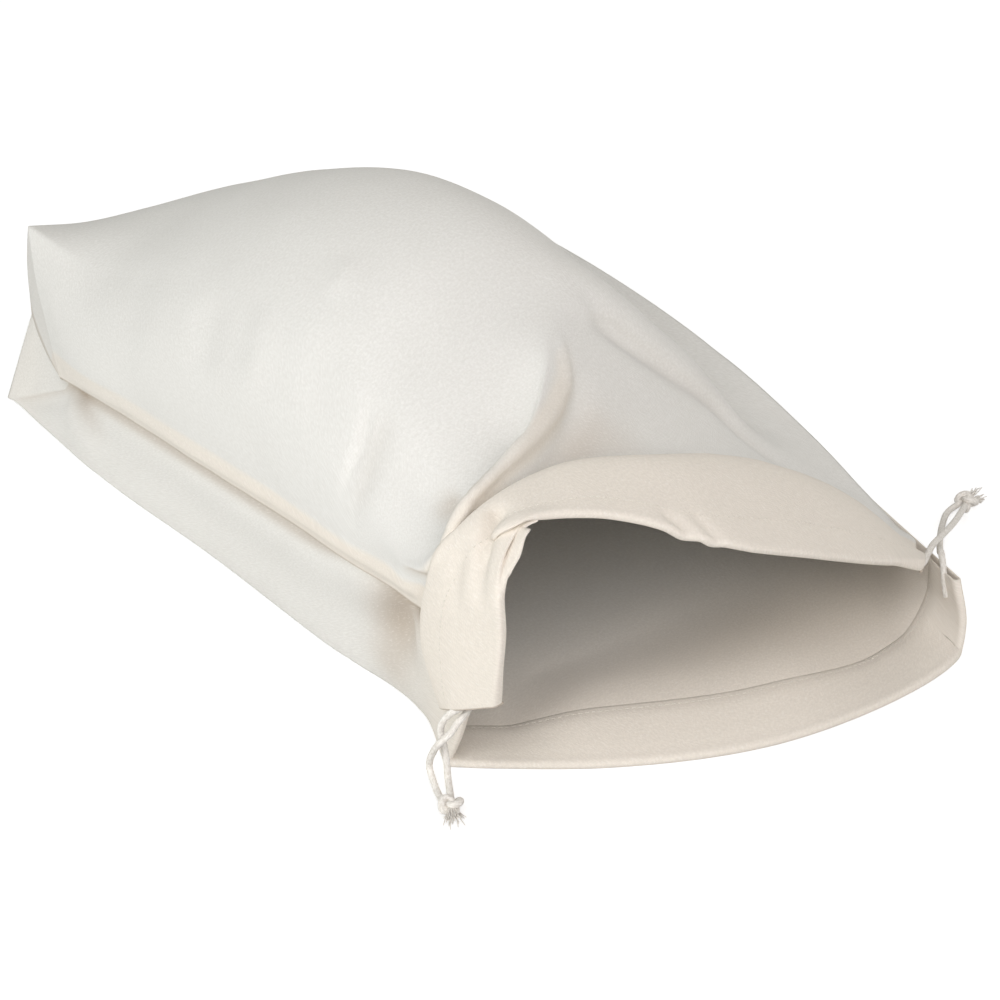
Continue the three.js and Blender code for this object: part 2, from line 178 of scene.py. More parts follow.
def bell(distance: Array, width: float) -> Array:
    """Bell curve: 1 at no distance, and 1/e at the width."""
    return np.exp(-((distance / width) ** 2))


def relax(grid: Array, rounds: int = 3, strength: float = 0.5) -> Array:
    """Grid with each point drawn towards the mean of its four neighbours, and rim points along the rim.

    Args:
        grid: rows x columns x 3 points.
        rounds: how many times to do it.
        strength: share of the way that each round moves.

    Returns:
        The eased grid, with its first row and its corners kept.
    """
    first = grid[0]
    for _ in range(rounds):
        mean = grid.copy()
        mean[1:-1, 1:-1] = (grid[:-2, 1:-1] + grid[2:, 1:-1] + grid[1:-1, :-2] + grid[1:-1, 2:]) / 4
        mean[-1, 1:-1] = (grid[-1, :-2] + grid[-1, 2:]) / 2
        for side in (0, -1):
            mean[1:-1, side] = (grid[:-2, side] + grid[2:, side]) / 2
        grid = grid + strength * (mean - grid)
        grid[0] = first
    return grid


def grid_normals(grid: Array, face: Face) -> Array:
    """Unit normals of a grid: the cross product of each quad's diagonals, summed at its corners.

    Args:
        grid: rows x columns x 3 points.
        face: which side is the outer one.

    Returns:
        Rows x columns x 3 normals that point out of the outer face.
    """
    quads = np.cross(grid[1:, 1:] - grid[:-1, :-1], grid[:-1, 1:] - grid[1:, :-1])
    sums = np.zeros_like(grid)
    for rows, columns in ((0, 0), (0, 1), (1, 0), (1, 1)):
        sums[rows : rows + quads.shape[0], columns : columns + quads.shape[1]] += quads
    return unit(sums) * face.value


def run_lengths(points: Array, axis: int = 0) -> Array:
    """Length run along lines of points, up to each point.

    Args:
        points: array whose last axis holds x, y, z.
        axis: the axis that runs along the lines.

    Returns:
        Lengths, starting at 0 on each line.
    """
    steps = np.linalg.norm(np.diff(points, axis=axis), axis=-1)
    start = np.zeros_like(steps.take([0], axis))
    return np.concatenate((start, np.cumsum(steps, axis=axis)), axis=axis)


def flat_lengths(grid: Array) -> Array:
    """Cloth coordinates of a grid: the length run along each row and along each column, in mm.

    Args:
        grid: rows x columns x 3 points.

    Returns:
        Rows x columns x 2 lengths, across the cloth and along it.
    """
    across = run_lengths(grid, axis=1)
    middle = across[:, [grid.shape[1] // 2]]
    return np.stack((across - middle, run_lengths(grid)), axis=-1)


def value_noise(places: Array, cell: float, seed: int) -> Array:
    """Smooth random field: random values on a square lattice, eased between its corners.

    Args:
        places: array whose last axis holds two coordinates.
        cell: lattice spacing, in the coordinates' unit.
        seed: seed of the lattice values.

    Returns:
        Values from about -1 to 1.
    """
    lattice = np.random.default_rng(seed).uniform(-1, 1, (NOISE_CELLS, NOISE_CELLS))
    scaled = places / cell
    base = np.floor(scaled).astype(int)
    f = scaled - base
    f = f * f * f * (f * (6 * f - 15) + 10)
    x, y = np.moveaxis(base % NOISE_CELLS, -1, 0)
    x1, y1 = (x + 1) % NOISE_CELLS, (y + 1) % NOISE_CELLS
    low = lattice[x, y] * (1 - f[..., 0]) + lattice[x1, y] * f[..., 0]
    high = lattice[x, y1] * (1 - f[..., 0]) + lattice[x1, y1] * f[..., 0]
    return low * (1 - f[..., 1]) + high * f[..., 1]


def nearest_on_line(grid: Array, line: Sequence[Point]) -> tuple[Array, Array]:
    """Nearest place on a line of points: each point is dropped on every stretch, and the closest is kept.

    Args:
        grid: rows x columns x 3 points.
        line: points along the line.

    Returns:
        Distance to the line, and share of the line's length run there.
    """
    path = np.asarray(line, float)
    run = np.diff(path, axis=0)
    lengths = np.linalg.norm(run, axis=1)
    share = np.clip(((grid[..., None, :] - path[:-1]) * run).sum(-1) / lengths**2, 0, 1)
    feet = path[:-1] + share[..., None] * run
    distance = np.linalg.norm(grid[..., None, :] - feet, axis=-1)
    best = distance.argmin(-1)[..., None]
    travelled = np.concatenate(([0], np.cumsum(lengths)[:-1])) + share * lengths
    along = np.take_along_axis(travelled, best, -1)[..., 0] / lengths.sum()
    return np.take_along_axis(distance, best, -1)[..., 0], along


@dataclass(frozen=True)
class Crease:
    """Soft trough or ridge along a line: a positive depth sinks and a negative one stands proud.

    start and end are the shares of the depth kept at the line's two ends, and ease is the share of its
    length over which it fades to them.
    """

    path: tuple[Point, ...]
    width: float
    depth: float
    start: float = 0.0
    end: float = 0.0
    ease: float = 0.4

    def amount(self, grid: Array) -> Array:
        """Depth at each point: a bell across the line that eases towards each of its ends.

        Args:
            grid: rows x columns x 3 points.

        Returns:
            Rows x columns depths in mm.
        """
        distance, along = nearest_on_line(grid, self.path)
        rising = self.start + (1 - self.start) * ramp(along, 0, self.ease)
        falling = self.end + (1 - self.end) * ramp(1 - along, 0, self.ease)
        return self.depth * (rising * falling) * bell(distance, self.width)


def total(creases: Sequence[Crease], grid: Array) -> Array:
    """Sum of the creases' amounts at each point of a grid."""
    return sum((crease.amount(grid) for crease in creases), np.zeros(grid.shape[:2]))


def sampled(grid: Array, rows: Array, columns: Array) -> Array:
    """Values of a grid at places between its points, from the four points round each place.

    Args:
        grid: rows x columns x n values.
        rows: row places.
        columns: column places, of the same shape.

    Returns:
        Values at those places.
    """
    rows = np.clip(rows, 0, grid.shape[0] - 1.001)
    columns = np.clip(columns, 0, grid.shape[1] - 1.001)
    i, j = rows.astype(int), columns.astype(int)
    a, b = (rows - i)[..., None], (columns - j)[..., None]
    return (grid[i, j] * (1 - a) + grid[i + 1, j] * a) * (1 - b) + (
        grid[i, j + 1] * (1 - a) + grid[i + 1, j + 1] * a
    ) * b


@dataclass(frozen=True)
class Pleat:
    """Z-shaped fold across a band: the far part laps over the near part, more so towards the mouth."""

    place: float = 3.05
    over: float = 0.36
    under: float = 0.25
    behind: float = 13.0
    layer: float = 1.6
    columns: int = 27
    rows: float = 24.0
    near_run: float = 0.6
    far_run: float = 0.45
    lower_turn: Pair = (0.26, 0.4)
    upper_turn: Pair = (0.6, 0.74)

    def split(self, places: Array) -> int:
        """Number of the column in front of which the fold's own columns go."""
        return int(np.searchsorted(places, self.place))

    def widened(self, values: Array, places: Array) -> Array:
        """Values of each column with the fold's own columns added, all alike.

        Args:
            values: columns x n, or columns.
            places: place of each column among the lines.

        Returns:
            Values of all columns.
        """
        k = self.split(places)
        return np.concatenate((values[:k], np.repeat(values[k : k + 1], self.columns, axis=0), values[k:]))

    def levelled(self, before: Array, after: Array) -> Array:
        """Vectors for the fold's own columns, spread evenly between those of the columns beside it."""
        return np.linspace(before, after, self.columns + 2, axis=1)[:, 1:-1]

    def fold(self, grid: Array, normals: Array, places: Array) -> Array:
        """Grid with the fold laid in: its columns run on under the band, back over it and on again.

        Each of the fold's points is taken from the unfolded surface, at a place that runs forth, back and
        forth again, and is raised by the number of layers under it.

        Args:
            grid: rows x columns x 3 points.
            normals: their outward normals.
            places: place of each column among the lines.

        Returns:
            Grid with more columns.
        """
        k = self.split(places)
        count = len(grid)
        growth = ramp(np.arange(count), count - 1 - self.rows, count - 1)[:, None]
        q = np.linspace(0, 1, self.columns + 2)[1:-1][None]
        first, second, third = (ramp(q * 3 - i, 0, 1) for i in range(3))
        along = self.under * first - (self.under + self.over) * second + self.over * third
        place = places[k - 1] + (places[k] - places[k - 1]) * q + along * growth
        row = np.arange(count)[:, None] - self.behind * (second - third) * growth
        column = np.interp(place, places, np.arange(len(places)))
        height = self.layer * (ramp(q, *self.lower_turn) + ramp(q, *self.upper_turn) - 1) * growth
        own = sampled(grid, row, column) + sampled(normals, row, column) * height[..., None]
        away = places - self.place
        rise = np.where(away < 0, -bell(away, self.near_run), bell(away, self.far_run))
        eased = grid + normals * (rise * self.layer * growth)[..., None]
        return np.concatenate((eased[:, :k], own, eased[:, k:]), axis=1)


@dataclass
class Cloth:
    """Middle surface of a sheet of cloth: points, outward normals, flat lengths in mm, and tones."""

    grid: Array
    normals: Array
    flat: Array
    warmth: Array
    shade: Array


def new_object(
    name: str, vertices: Array, faces: Sequence[Array], material: bpy.types.Material
) -> bpy.types.Object:
    """Mesh object from arrays, smooth shaded, in the part's frame.

    Args:
        name: name of the piece.
        vertices: points in metres.
        faces: groups of quads or triangles, each face a row of vertex numbers.
        material: its finish.

    Returns:
        The object, linked to the scene.
    """
    mesh = bpy.data.meshes.new(name)
    mesh.from_pydata(vertices.tolist(), [], [face for group in faces for face in group.tolist()])
    mesh.polygons.foreach_set("use_smooth", np.ones(len(mesh.polygons), bool))
    mesh.materials.append(material)
    mesh.update()
    made = bpy.data.objects.new(name, mesh)
    bpy.context.scene.collection.objects.link(made)
    return made


def settle(made: bpy.types.Object, node: str = "") -> None:
    """Say what a piece rides on and which node of the part it stands for, if any.

    Args:
        made: the piece.
        node: the node that it replaces.
    """
    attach(made, BODY)
    if node:
        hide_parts(node)


def set_map(made: bpy.types.Object, name: str, places: Array) -> None:
    """Give each vertex of a mesh a place in a flat map, for its pattern.

    Args:
        made: the mesh object.
        name: name of the map.
        places: vertices x 2 coordinates.
    """
    layer = made.data.uv_layers.new(name=name)
    corners = np.empty(len(made.data.loops), np.int32)
    made.data.loops.foreach_get("vertex_index", corners)
    layer.data.foreach_set("uv", places[corners].astype(np.float32).ravel())


def grid_faces(rows: int, columns: int, closed: bool = False) -> Array:
    """Quads of a grid of vertices numbered row by row.

    Args:
        rows: number of rows.
        columns: number of columns.
        closed: whether the last column is joined to the first.

    Returns:
        Quads x 4 vertex numbers.
    """
    i = np.arange(rows - 1)[:, None]
    j = np.arange(columns if closed else columns - 1)[None, :]
    after = (j + 1) % columns
    quads = (i * columns + j, (i + 1) * columns + j, (i + 1) * columns + after, i * columns + after)
    return np.stack(np.broadcast_arrays(*quads), axis=-1).reshape(-1, 4)


def cloth_shell(
    name: str, cloth: Cloth, thickness: float, face: Face, material: bpy.types.Material
) -> bpy.types.Object:
    """Sheet of cloth about a grid: two faces half a thickness either side, joined by a rounded rim.

    Args:
        name: name of the piece.
        cloth: middle of the cloth and its tones.
        thickness: cloth thickness in mm.
        face: which side is the outer one.
        material: its finish.

    Returns:
        The mesh object, with its flat cloth map in metres and its tones.
    """
    grid = cloth.grid
    rows, columns = grid.shape[:2]
    count = rows * columns
    number = np.arange(count).reshape(rows, columns)
    rim = np.concatenate((number[:-1, 0], number[-1, :-1], number[:0:-1, -1], number[0, :0:-1]))
    inner_number = number.copy()
    inner_number[0], inner_number[-1] = number[1], number[-2]
    inner_number[:, 0], inner_number[:, -1] = inner_number[:, 1], inner_number[:, -2]
    flat = grid.reshape(-1, 3)
    out_of_cloth = unit(flat[rim] - flat[inner_number.ravel()[rim]])
    middle = flat[rim] + out_of_cloth * thickness * RIM_ROUND
    offset = cloth.normals.reshape(-1, 3) * thickness / 2
    vertices = np.concatenate((flat + offset, flat - offset, middle))
    outer = grid_faces(rows, columns)
    if face is Face.COLUMNS_BY_ROWS:
        outer = outer[:, ::-1]
    place = np.arange(len(rim))
    after = np.roll(place, -1)
    hoop = 2 * count
    top = np.stack((rim, rim[after], hoop + after, hoop + place), axis=-1)
    bottom = np.stack((hoop + place, hoop + after, count + rim[after], count + rim), axis=-1)
    edge = np.concatenate((top, bottom))
    if face is Face.ROWS_BY_COLUMNS:
        edge = edge[:, ::-1]
    made = new_object(name, to_frame(vertices), (outer, outer[:, ::-1] + count, edge), material)
    lengths = cloth.flat.reshape(-1, 2) * MM
    set_map(made, CLOTH_MAP, np.concatenate((lengths, lengths, lengths[rim])))
    for key, values in ((WARMTH, cloth.warmth.ravel()), (SHADE, cloth.shade.ravel())):
        layer = made.data.attributes.new(key, "FLOAT", "POINT")
        layer.data.foreach_set("value", np.concatenate((values, values, values[rim])).astype(np.float32))
    return made


def path_frames(path: Array, reference: Point) -> tuple[Array, Array]:
    """Unit side and up vectors along a path, with the side kept square to a reference direction.

    Args:
        path: points along the path, with x, y, z on the last axis and the run on the one before it.
        reference: direction that no part of the path runs along.

    Returns:
        Sides and ups, each shaped as the path.
    """
    tangent = unit(np.gradient(path, axis=-2))
    side = unit(np.cross(tangent, np.asarray(reference, float)))
    return side, np.cross(side, tangent)


def carried_frames(path: Array) -> tuple[Array, Array]:
    """Side and up vectors along a path, carried forward with no twist from one point to the next.

    Args:
        path: points x 3.

    Returns:
        Sides and ups, each points x 3.
    """
    tangent = unit(np.gradient(path, axis=0))
    side = np.empty_like(path)
    held = np.cross(tangent[0], ODD_WAY)
    for i, way in enumerate(tangent):
        held = held - way * (held @ way)
        held = held / np.linalg.norm(held)
        side[i] = held
    return side, np.cross(tangent, side)


def ring_angles(count: int) -> Array:
    """Angles of points spread evenly round a circle."""
    return 2 * np.pi * np.arange(count) / count


def rings(side: Array, up: Array, count: int) -> Array:
    """Unit vectors round each point of a path, turning from its side vector to its up vector.

    Args:
        side: vectors across the path, with x, y, z on the last axis.
        up: vectors across it, square to the sides.
        count: how many go round each point.

    Returns:
        The vectors, with an axis of that many before the last one.
    """
    angle = ring_angles(count)[:, None]
    return side[..., None, :] * np.cos(angle) + up[..., None, :] * np.sin(angle)


def repeated(faces: Array, copies: int, stride: int) -> Array:
    """Faces of many like tubes, whose vertices follow one another at a stride."""
    return (faces + (np.arange(copies) * stride)[:, None, None]).reshape(-1, faces.shape[1])


def between(places: Array, run: Array, vectors: Array) -> Array:
    """Vectors at places along a run, between the vectors given along it."""
    return np.stack([np.interp(places, run, vectors[:, k]) for k in range(3)], axis=-1)


def resample(path: Array, spacing: float) -> Array:
    """Path with its points spread evenly along its length.

    Args:
        path: points x 3.
        spacing: about how far apart the new points are.

    Returns:
        The new points.
    """
    run = run_lengths(path)
    places = np.linspace(0, run[-1], max(4, round(run[-1] / spacing) + 1))
    return between(places, run, path)


class Nodes:
    """Short hand for laying out shader nodes and joining them."""

    def __init__(self, material: bpy.types.Material) -> None:
        """Keep the material's node tree."""
        self.tree = material.node_tree

    def add(self, kind: str, inputs: dict[str | int, Any] | None = None, **settings: Any) -> bpy.types.Node:
        """Add a node, set its options, and set or join its inputs.

        Args:
            kind: node type name.
            inputs: input name or number to a value, or to a socket to join.
            **settings: node options.

        Returns:
            The node.
        """
        node = self.tree.nodes.new(kind)
        for option, value in settings.items():
            setattr(node, option, value)
        for key, value in (inputs or {}).items():
            self.join(value, node.inputs[key])
        return node

    def join(self, value: Any, socket: bpy.types.NodeSocket) -> None:
        """Join a socket to an input, or set the input's own value."""
        if isinstance(value, bpy.types.NodeSocket):
            self.tree.links.new(value, socket)
        else:
            socket.default_value = value

    def math(self, operation: str, *values: Any) -> bpy.types.NodeSocket:
        """Result of a maths node on one to three values or sockets."""
        return self.add("ShaderNodeMath", dict(enumerate(values)), operation=operation).outputs[0]

    def mix(self, factor: Any, first: Any, second: Any) -> bpy.types.NodeSocket:
        """Colour between two others, by a factor."""
        inputs = {"Factor": factor, 6: first, 7: second}
        return self.add("ShaderNodeMix", inputs, data_type="RGBA").outputs[2]

    def noise(
        self, place: Any, scale: float, detail: float = 2.0, roughness: float = 0.5
    ) -> bpy.types.NodeSocket:
        """Smooth noise at a place, from 0 to 1."""
        inputs = {"Vector": place, "Scale": scale, "Detail": detail, "Roughness": roughness}
        return self.add("ShaderNodeTexNoise", inputs).outputs["Fac"]

    def bump(self, strength: float, depth: float, height: Any) -> bpy.types.NodeSocket:
        """Normal of a surface roughened by a height."""
        inputs = {"Strength": strength, "Distance": depth, "Height": height}
        return self.add("ShaderNodeBump", inputs).outputs["Normal"]

    def own_place(self) -> bpy.types.NodeSocket:
        """Place in the object's own coordinates."""
        return self.add("ShaderNodeTexCoord").outputs["Object"]

    def stretched(self, place: Any, scale: Point) -> bpy.types.NodeSocket:
        """A place scaled differently along each axis."""
        return self.add("ShaderNodeMapping", {"Vector": place, "Scale": scale}).outputs["Vector"]

    def ramp(
        self, value: Any, low: float, high: float, to_low: float = 0.0, to_high: float = 1.0
    ) -> bpy.types.NodeSocket:
        """Value eased from one range to another."""
        inputs = {"Value": value, "From Min": low, "From Max": high, "To Min": to_low, "To Max": to_high}
        return self.add("ShaderNodeMapRange", inputs, interpolation_type="SMOOTHSTEP").outputs["Result"]


@dataclass(frozen=True)
class Finish(ABC):
    """Surface of a material: rough, slightly bloomed cotton, unless a kind of finish says otherwise."""

    roughness: float = 0.93
    specular: float = 0.18
    sheen: float = 0.12
    sheen_roughness: float = 0.55

    @abstractmethod
    def paint(self, nodes: Nodes) -> dict[str, bpy.types.NodeSocket]:
        """Lay out the finish's nodes.

        Args:
            nodes: the material's nodes.

        Returns:
            Name of each of the shader's inputs to the socket that joins it.
        """

    def plain(self) -> dict[str, Any]:
        """Name of each of the shader's plain inputs to its value."""
        return {
            "Roughness": self.roughness,
            "Specular IOR Level": self.specular,
            "Sheen Weight": self.sheen,
            "Sheen Roughness": self.sheen_roughness,
        }

    def material(self, name: str) -> bpy.types.Material:
        """Make the material, with its shader's inputs set or joined.

        Args:
            name: name of the material.

        Returns:
            The material.
        """
        material = bpy.data.materials.new(name)
        material.use_nodes = True
        nodes = Nodes(material)
        shader = material.node_tree.nodes["Principled BSDF"]
        for key, value in {**self.plain(), **self.paint(nodes)}.items():
            nodes.join(value, shader.inputs[key])
        return material


@dataclass(frozen=True)
class ClothFinish(Finish):
    """Undyed plain-weave cotton: uneven threads and faint slubs, warmer where the cloth is doubled and where
    warm light is painted in, darker where shade is painted in.
    """

    thread_pitch: float = 0.85
    cloth: Colour = (0.830, 0.820, 0.785, 1)
    # warm tone: partly the doubled cloth, partly painted warm bounce light
    doubled_and_painted_warm_light: Colour = (0.860, 0.795, 0.705, 1)
    hollow: Colour = (0.520, 0.490, 0.430, 1)
    slub: Colour = (0.890, 0.870, 0.825, 1)
    # painted shade colour, mixed in by the shade attribute in folds, pockets and along the seams
    fold: Colour = (0.470, 0.375, 0.285, 1)
    waver: float = 9.0
    waver_scale: float = 260.0
    slub_scales: Pair = (1050.0, 520.0)
    grain_scale: float = 620.0
    cloud_scale: float = 26.0
    thread_height: float = 0.22
    slub_height: float = 0.7
    hollow_range: Four = (0.85, 1.6, 0.24, 0.0)
    slub_range: Four = (1.0, 1.45, 0.0, 0.4)
    cloud_range: Four = (0.35, 0.85, 0.0, 0.06)
    bump: float = 0.3
    bump_depth: float = 0.0004

    def paint(self, nodes: Nodes) -> dict[str, bpy.types.NodeSocket]:
        """Lay out a weave of crossed sine threads in the cloth map, wavered by noise.

        Args:
            nodes: the material's nodes.

        Returns:
            Colour and normal, by the shader's input.
        """
        place = nodes.add("ShaderNodeUVMap", uv_map=CLOTH_MAP).outputs["UV"]
        warmth = nodes.add("ShaderNodeAttribute", attribute_name=WARMTH).outputs["Fac"]
        parts = nodes.add("ShaderNodeSeparateXYZ", {0: place})
        turns = 2 * math.pi / (self.thread_pitch * MM)
        waver = nodes.noise(place, self.waver_scale, 3.0)
        threads = (
            nodes.math("MULTIPLY_ADD", waver, sway, nodes.math("MULTIPLY", parts.outputs[axis], turns))
            for axis, sway in (("X", self.waver), ("Y", -self.waver))
        )
        crossing = nodes.math("MULTIPLY", *(nodes.math("SINE", thread) for thread in threads))
        fine, long = self.slub_scales
        lies = ((fine, long, 1.0), (long, fine, 1.0))
        slubs = nodes.math("ADD", *(nodes.noise(nodes.stretched(place, lie), 1.0, 2.0) for lie in lies))
        grain = nodes.noise(place, self.grain_scale, 2.0, 0.6)
        rough = nodes.math("MULTIPLY_ADD", slubs, self.slub_height, grain)
        height = nodes.math("MULTIPLY_ADD", crossing, self.thread_height, rough)
        clouds = nodes.noise(place, self.cloud_scale, 3.0, 0.55)
        shade = nodes.add("ShaderNodeAttribute", attribute_name=SHADE).outputs["Fac"]
        # painted shade from the shade attribute, laid over the cloth and its warm tone
        tone = nodes.mix(shade, nodes.mix(warmth, self.cloth, self.doubled_and_painted_warm_light), self.fold)
        tone = nodes.mix(nodes.ramp(height, *self.hollow_range), tone, self.hollow)
        tone = nodes.mix(nodes.ramp(slubs, *self.slub_range), tone, self.slub)
        tone = nodes.mix(nodes.ramp(clouds, *self.cloud_range), tone, self.hollow)
        return {"Base Color": tone, "Normal": nodes.bump(self.bump, self.bump_depth, height)}


@dataclass(frozen=True)
class CordFinish(Finish):
    """Braided cotton cord and its frayed yarn: soft, slightly grey in the hollows of the braid."""

    yarn: Colour = (0.900, 0.870, 0.820, 1)
    hollow: Colour = (0.700, 0.660, 0.595, 1)
    fibre_scale: Point = (2600.0, 500.0, 1.0)
    clump_scale: float = 420.0
    clump_height: float = 0.6
    hollow_range: Pair = (0.55, 1.0)
    bump: float = 0.4
    bump_depth: float = 0.0003

    def paint(self, nodes: Nodes) -> dict[str, bpy.types.NodeSocket]:
        """Lay out fine fibres along the cord's own map, darker in the hollows of the braid.

        Args:
            nodes: the material's nodes.

        Returns:
            Colour and normal, by the shader's input.
        """
        place = nodes.add("ShaderNodeUVMap", uv_map=CORD_MAP).outputs["UV"]
        fibres = nodes.noise(nodes.stretched(place, self.fibre_scale), 1.0, 3.0)
        clumps = nodes.noise(place, self.clump_scale, 2.0)
        height = nodes.math("MULTIPLY_ADD", clumps, self.clump_height, fibres)
        tone = nodes.mix(nodes.ramp(height, *self.hollow_range), self.hollow, self.yarn)
        return {"Base Color": tone, "Normal": nodes.bump(self.bump, self.bump_depth, height)}


@dataclass(frozen=True)
class ThreadFinish(Finish):
    """Sewing thread of the casing: a little whiter and smoother than the cloth."""

    roughness: float = 0.75
    specular: float = 0.3
    light: Colour = (0.84, 0.80, 0.73, 1)
    dark: Colour = (0.66, 0.61, 0.53, 1)
    ply_scale: float = 2400.0
    ply_range: Pair = (0.35, 0.65)

    def paint(self, nodes: Nodes) -> dict[str, bpy.types.NodeSocket]:
        """Plies of thread, as fine noise on the thread's own coordinates."""
        ply = nodes.noise(nodes.own_place(), self.ply_scale, 2.0)
        return {"Base Color": nodes.mix(nodes.ramp(ply, *self.ply_range), self.dark, self.light)}


@dataclass(frozen=True)
class FloorFinish(Finish):
    """Matt white studio paper, with a slight glow of its own."""

    roughness: float = 0.9
    specular: float = 0.1
    sheen: float = 0.0
    pale: Colour = (0.76, 0.76, 0.76, 1)
    soft: Colour = (0.74, 0.74, 0.74, 1)
    glow_colour: Colour = (1, 1, 1, 1)
    glow: float = 0.52
    cloud_scale: float = 3.0

    def plain(self) -> dict[str, Any]:
        """Name of each of the shader's plain inputs to its value, with the glow."""
        return {**super().plain(), "Emission Color": self.glow_colour, "Emission Strength": self.glow}

    def paint(self, nodes: Nodes) -> dict[str, bpy.types.NodeSocket]:
        """White with a faint cloud in it."""
        clouds = nodes.noise(nodes.own_place(), self.cloud_scale)
        return {"Base Color": nodes.mix(clouds, self.pale, self.soft)}


@dataclass(frozen=True)
class FrontLine:
    """One line along the front panel: where it passes each section, fold and edge between bottom and mouth.

    y and rise shape the body sections; roll is the leaning fold behind the mouth and lift its height; dip is
    the hollow before the band; crest is the outer fold of the band and stitch the share of the band before
    its casing.
    """

    name: str
    y: float
    rise: float
    bottom: Point
    seam: Point
    roll: Point
    lift: float
    dip: Point
    under: Point
    crest: Point
    stitch: float
    mouth: Point


@dataclass(frozen=True)
class FrontSection:
    """Section across the front panel's body: heights of its near seam, crown, far hollow and far seam."""

    x: float
    seam: float
    crown: float
    hollow: float
    far: float


@dataclass(frozen=True)
class BackLine:
    """One line along the back panel: its edge round the bottom, the bottom seam and the lip of the mouth."""

    name: str
    arch: Point
    seam: Point
    lip: Point


@dataclass(frozen=True)
class BackSection:
    """Section across the back panel: height of each side seam and where each wall meets the surface."""

    x: float
    seam: float
    near_y: float
    far_y: float
    far: float


@dataclass(frozen=True)
class HemRow:
    """One line along a casing's turned-in layer: its place back from the edge, its depth and its reach."""

    share: float
    depth: float
    ahead: float


@dataclass(frozen=True)
class Casing:
    """Turned-in tunnel for the drawcord along a panel's edge; its inner layer has slipped out in places."""

    tunnel: float
    turn: float
    stitch_gap: float
    end_share: float
    end_run: float = 26.0
    slip: float = 6.0
    slip_gap: float = 1.4

    def turned(self) -> tuple[HemRow, ...]:
        """Inner layer that is turned neatly at the edge."""
        return (
            HemRow(0.0, self.turn * 0.35, self.turn * 0.75),
            HemRow(0.0, self.tunnel - self.turn * 0.35, self.turn * 0.75),
            HemRow(0.12, self.tunnel, 0.0),
            HemRow(0.5, self.tunnel, 0.0),
            HemRow(0.8, self.tunnel * 0.8, 0.0),
            HemRow(1.0, self.stitch_gap, 0.0),
        )

    def slipped(self) -> tuple[HemRow, ...]:
        """Inner layer that shows as a strip past the edge before it turns back."""
        return (
            HemRow(0.0, self.slip_gap, -self.slip_gap),
            HemRow(0.0, self.slip_gap * 1.5, self.slip * 0.5),
            HemRow(0.0, self.slip_gap * 2.0, self.slip),
            HemRow(0.0, self.tunnel * 0.9, self.slip * 0.9),
            HemRow(0.6, self.tunnel * 0.85, 0.0),
            HemRow(1.0, self.stitch_gap, 0.0),
        )

    def ways(self, stitch: Array, edge: Array, side: int) -> tuple[Array, Array]:
        """Ways forward and inward at each column, with the inward one longer at the casing's open ends.

        Args:
            stitch: columns x 3 points of the stitch line.
            edge: columns x 3 points of the fold at the edge.
            side: 1 where the inside lies along columns crossed with the way forward, -1 for the other side.

        Returns:
            Forward and inward vectors.
        """
        forward = unit(edge - stitch)
        inward = unit(np.cross(np.gradient(edge, axis=0), forward)) * side
        run = run_lengths(edge)
        full = ramp(np.minimum(run, run[-1] - run), 0, self.end_run)[:, None]
        return forward, inward * (self.end_share + (1 - self.end_share) * full)

    def rows(self, stitch: Array, edge: Array, ways: tuple[Array, Array], slip: Array) -> list[Array]:
        """Rows of the inner layer, laid inside the outer layer between its edge and its stitches.

        Args:
            stitch: columns x 3 points of the stitch line.
            edge: columns x 3 points of the fold at the edge.
            ways: forward and inward vectors.
            slip: for each column, 0 where the layer is turned neatly and 1 where it has slipped out.

        Returns:
            Rows of points from the edge back to the stitches.
        """
        forward, inward = ways
        share = slip[:, None]

        def lay(row: HemRow) -> Array:
            """Points of one row."""
            return edge + (stitch - edge) * row.share + inward * row.depth + forward * row.ahead

        return [lay(a) * (1 - share) + lay(b) * share for a, b in zip(self.turned(), self.slipped())]


@dataclass(frozen=True)
class StitchRow:
    """Row of machine stitches: short bowed threads laid end to end."""

    name: str
    length: float = 2.3
    gap: float = 0.7
    radius: float = 0.22
    bow: float = 0.12
    sunk: float = 0.4
    tip: float = 0.12
    steps: int = 6
    sides: int = 6

    def build(self, line: Array, normals: Array, material: bpy.types.Material) -> bpy.types.Object:
        """Make the stitches as one mesh: tapered tubes, each bowed off the cloth by half a sine.

        Args:
            line: points along the row, on the cloth, in mm.
            normals: the cloth's normals there.
            material: the thread's finish.

        Returns:
            The stitches.
        """
        run = run_lengths(line)
        count = int((run[-1] - self.gap) // (self.length + self.gap))
        share = np.linspace(0, 1, self.steps)
        places = (np.arange(count) * (self.length + self.gap) + self.gap)[:, None] + share * self.length
        up = unit(between(places, run, normals))
        arc = np.sin(np.pi * share)
        path = between(places, run, line) + up * (self.bow * arc - self.radius * self.sunk)[:, None]
        side = unit(np.cross(unit(np.gradient(path, axis=1)), up))
        width = self.radius * np.sqrt(self.tip + (1 - self.tip) * arc)
        surface = path[:, :, None] + rings(side, up, self.sides) * width[:, None, None]
        one = grid_faces(self.steps, self.sides, closed=True)
        faces = repeated(one, count, self.steps * self.sides)
        made = new_object(self.name, to_frame(surface.reshape(-1, 3)), (faces,), material)
        settle(made)
        return made


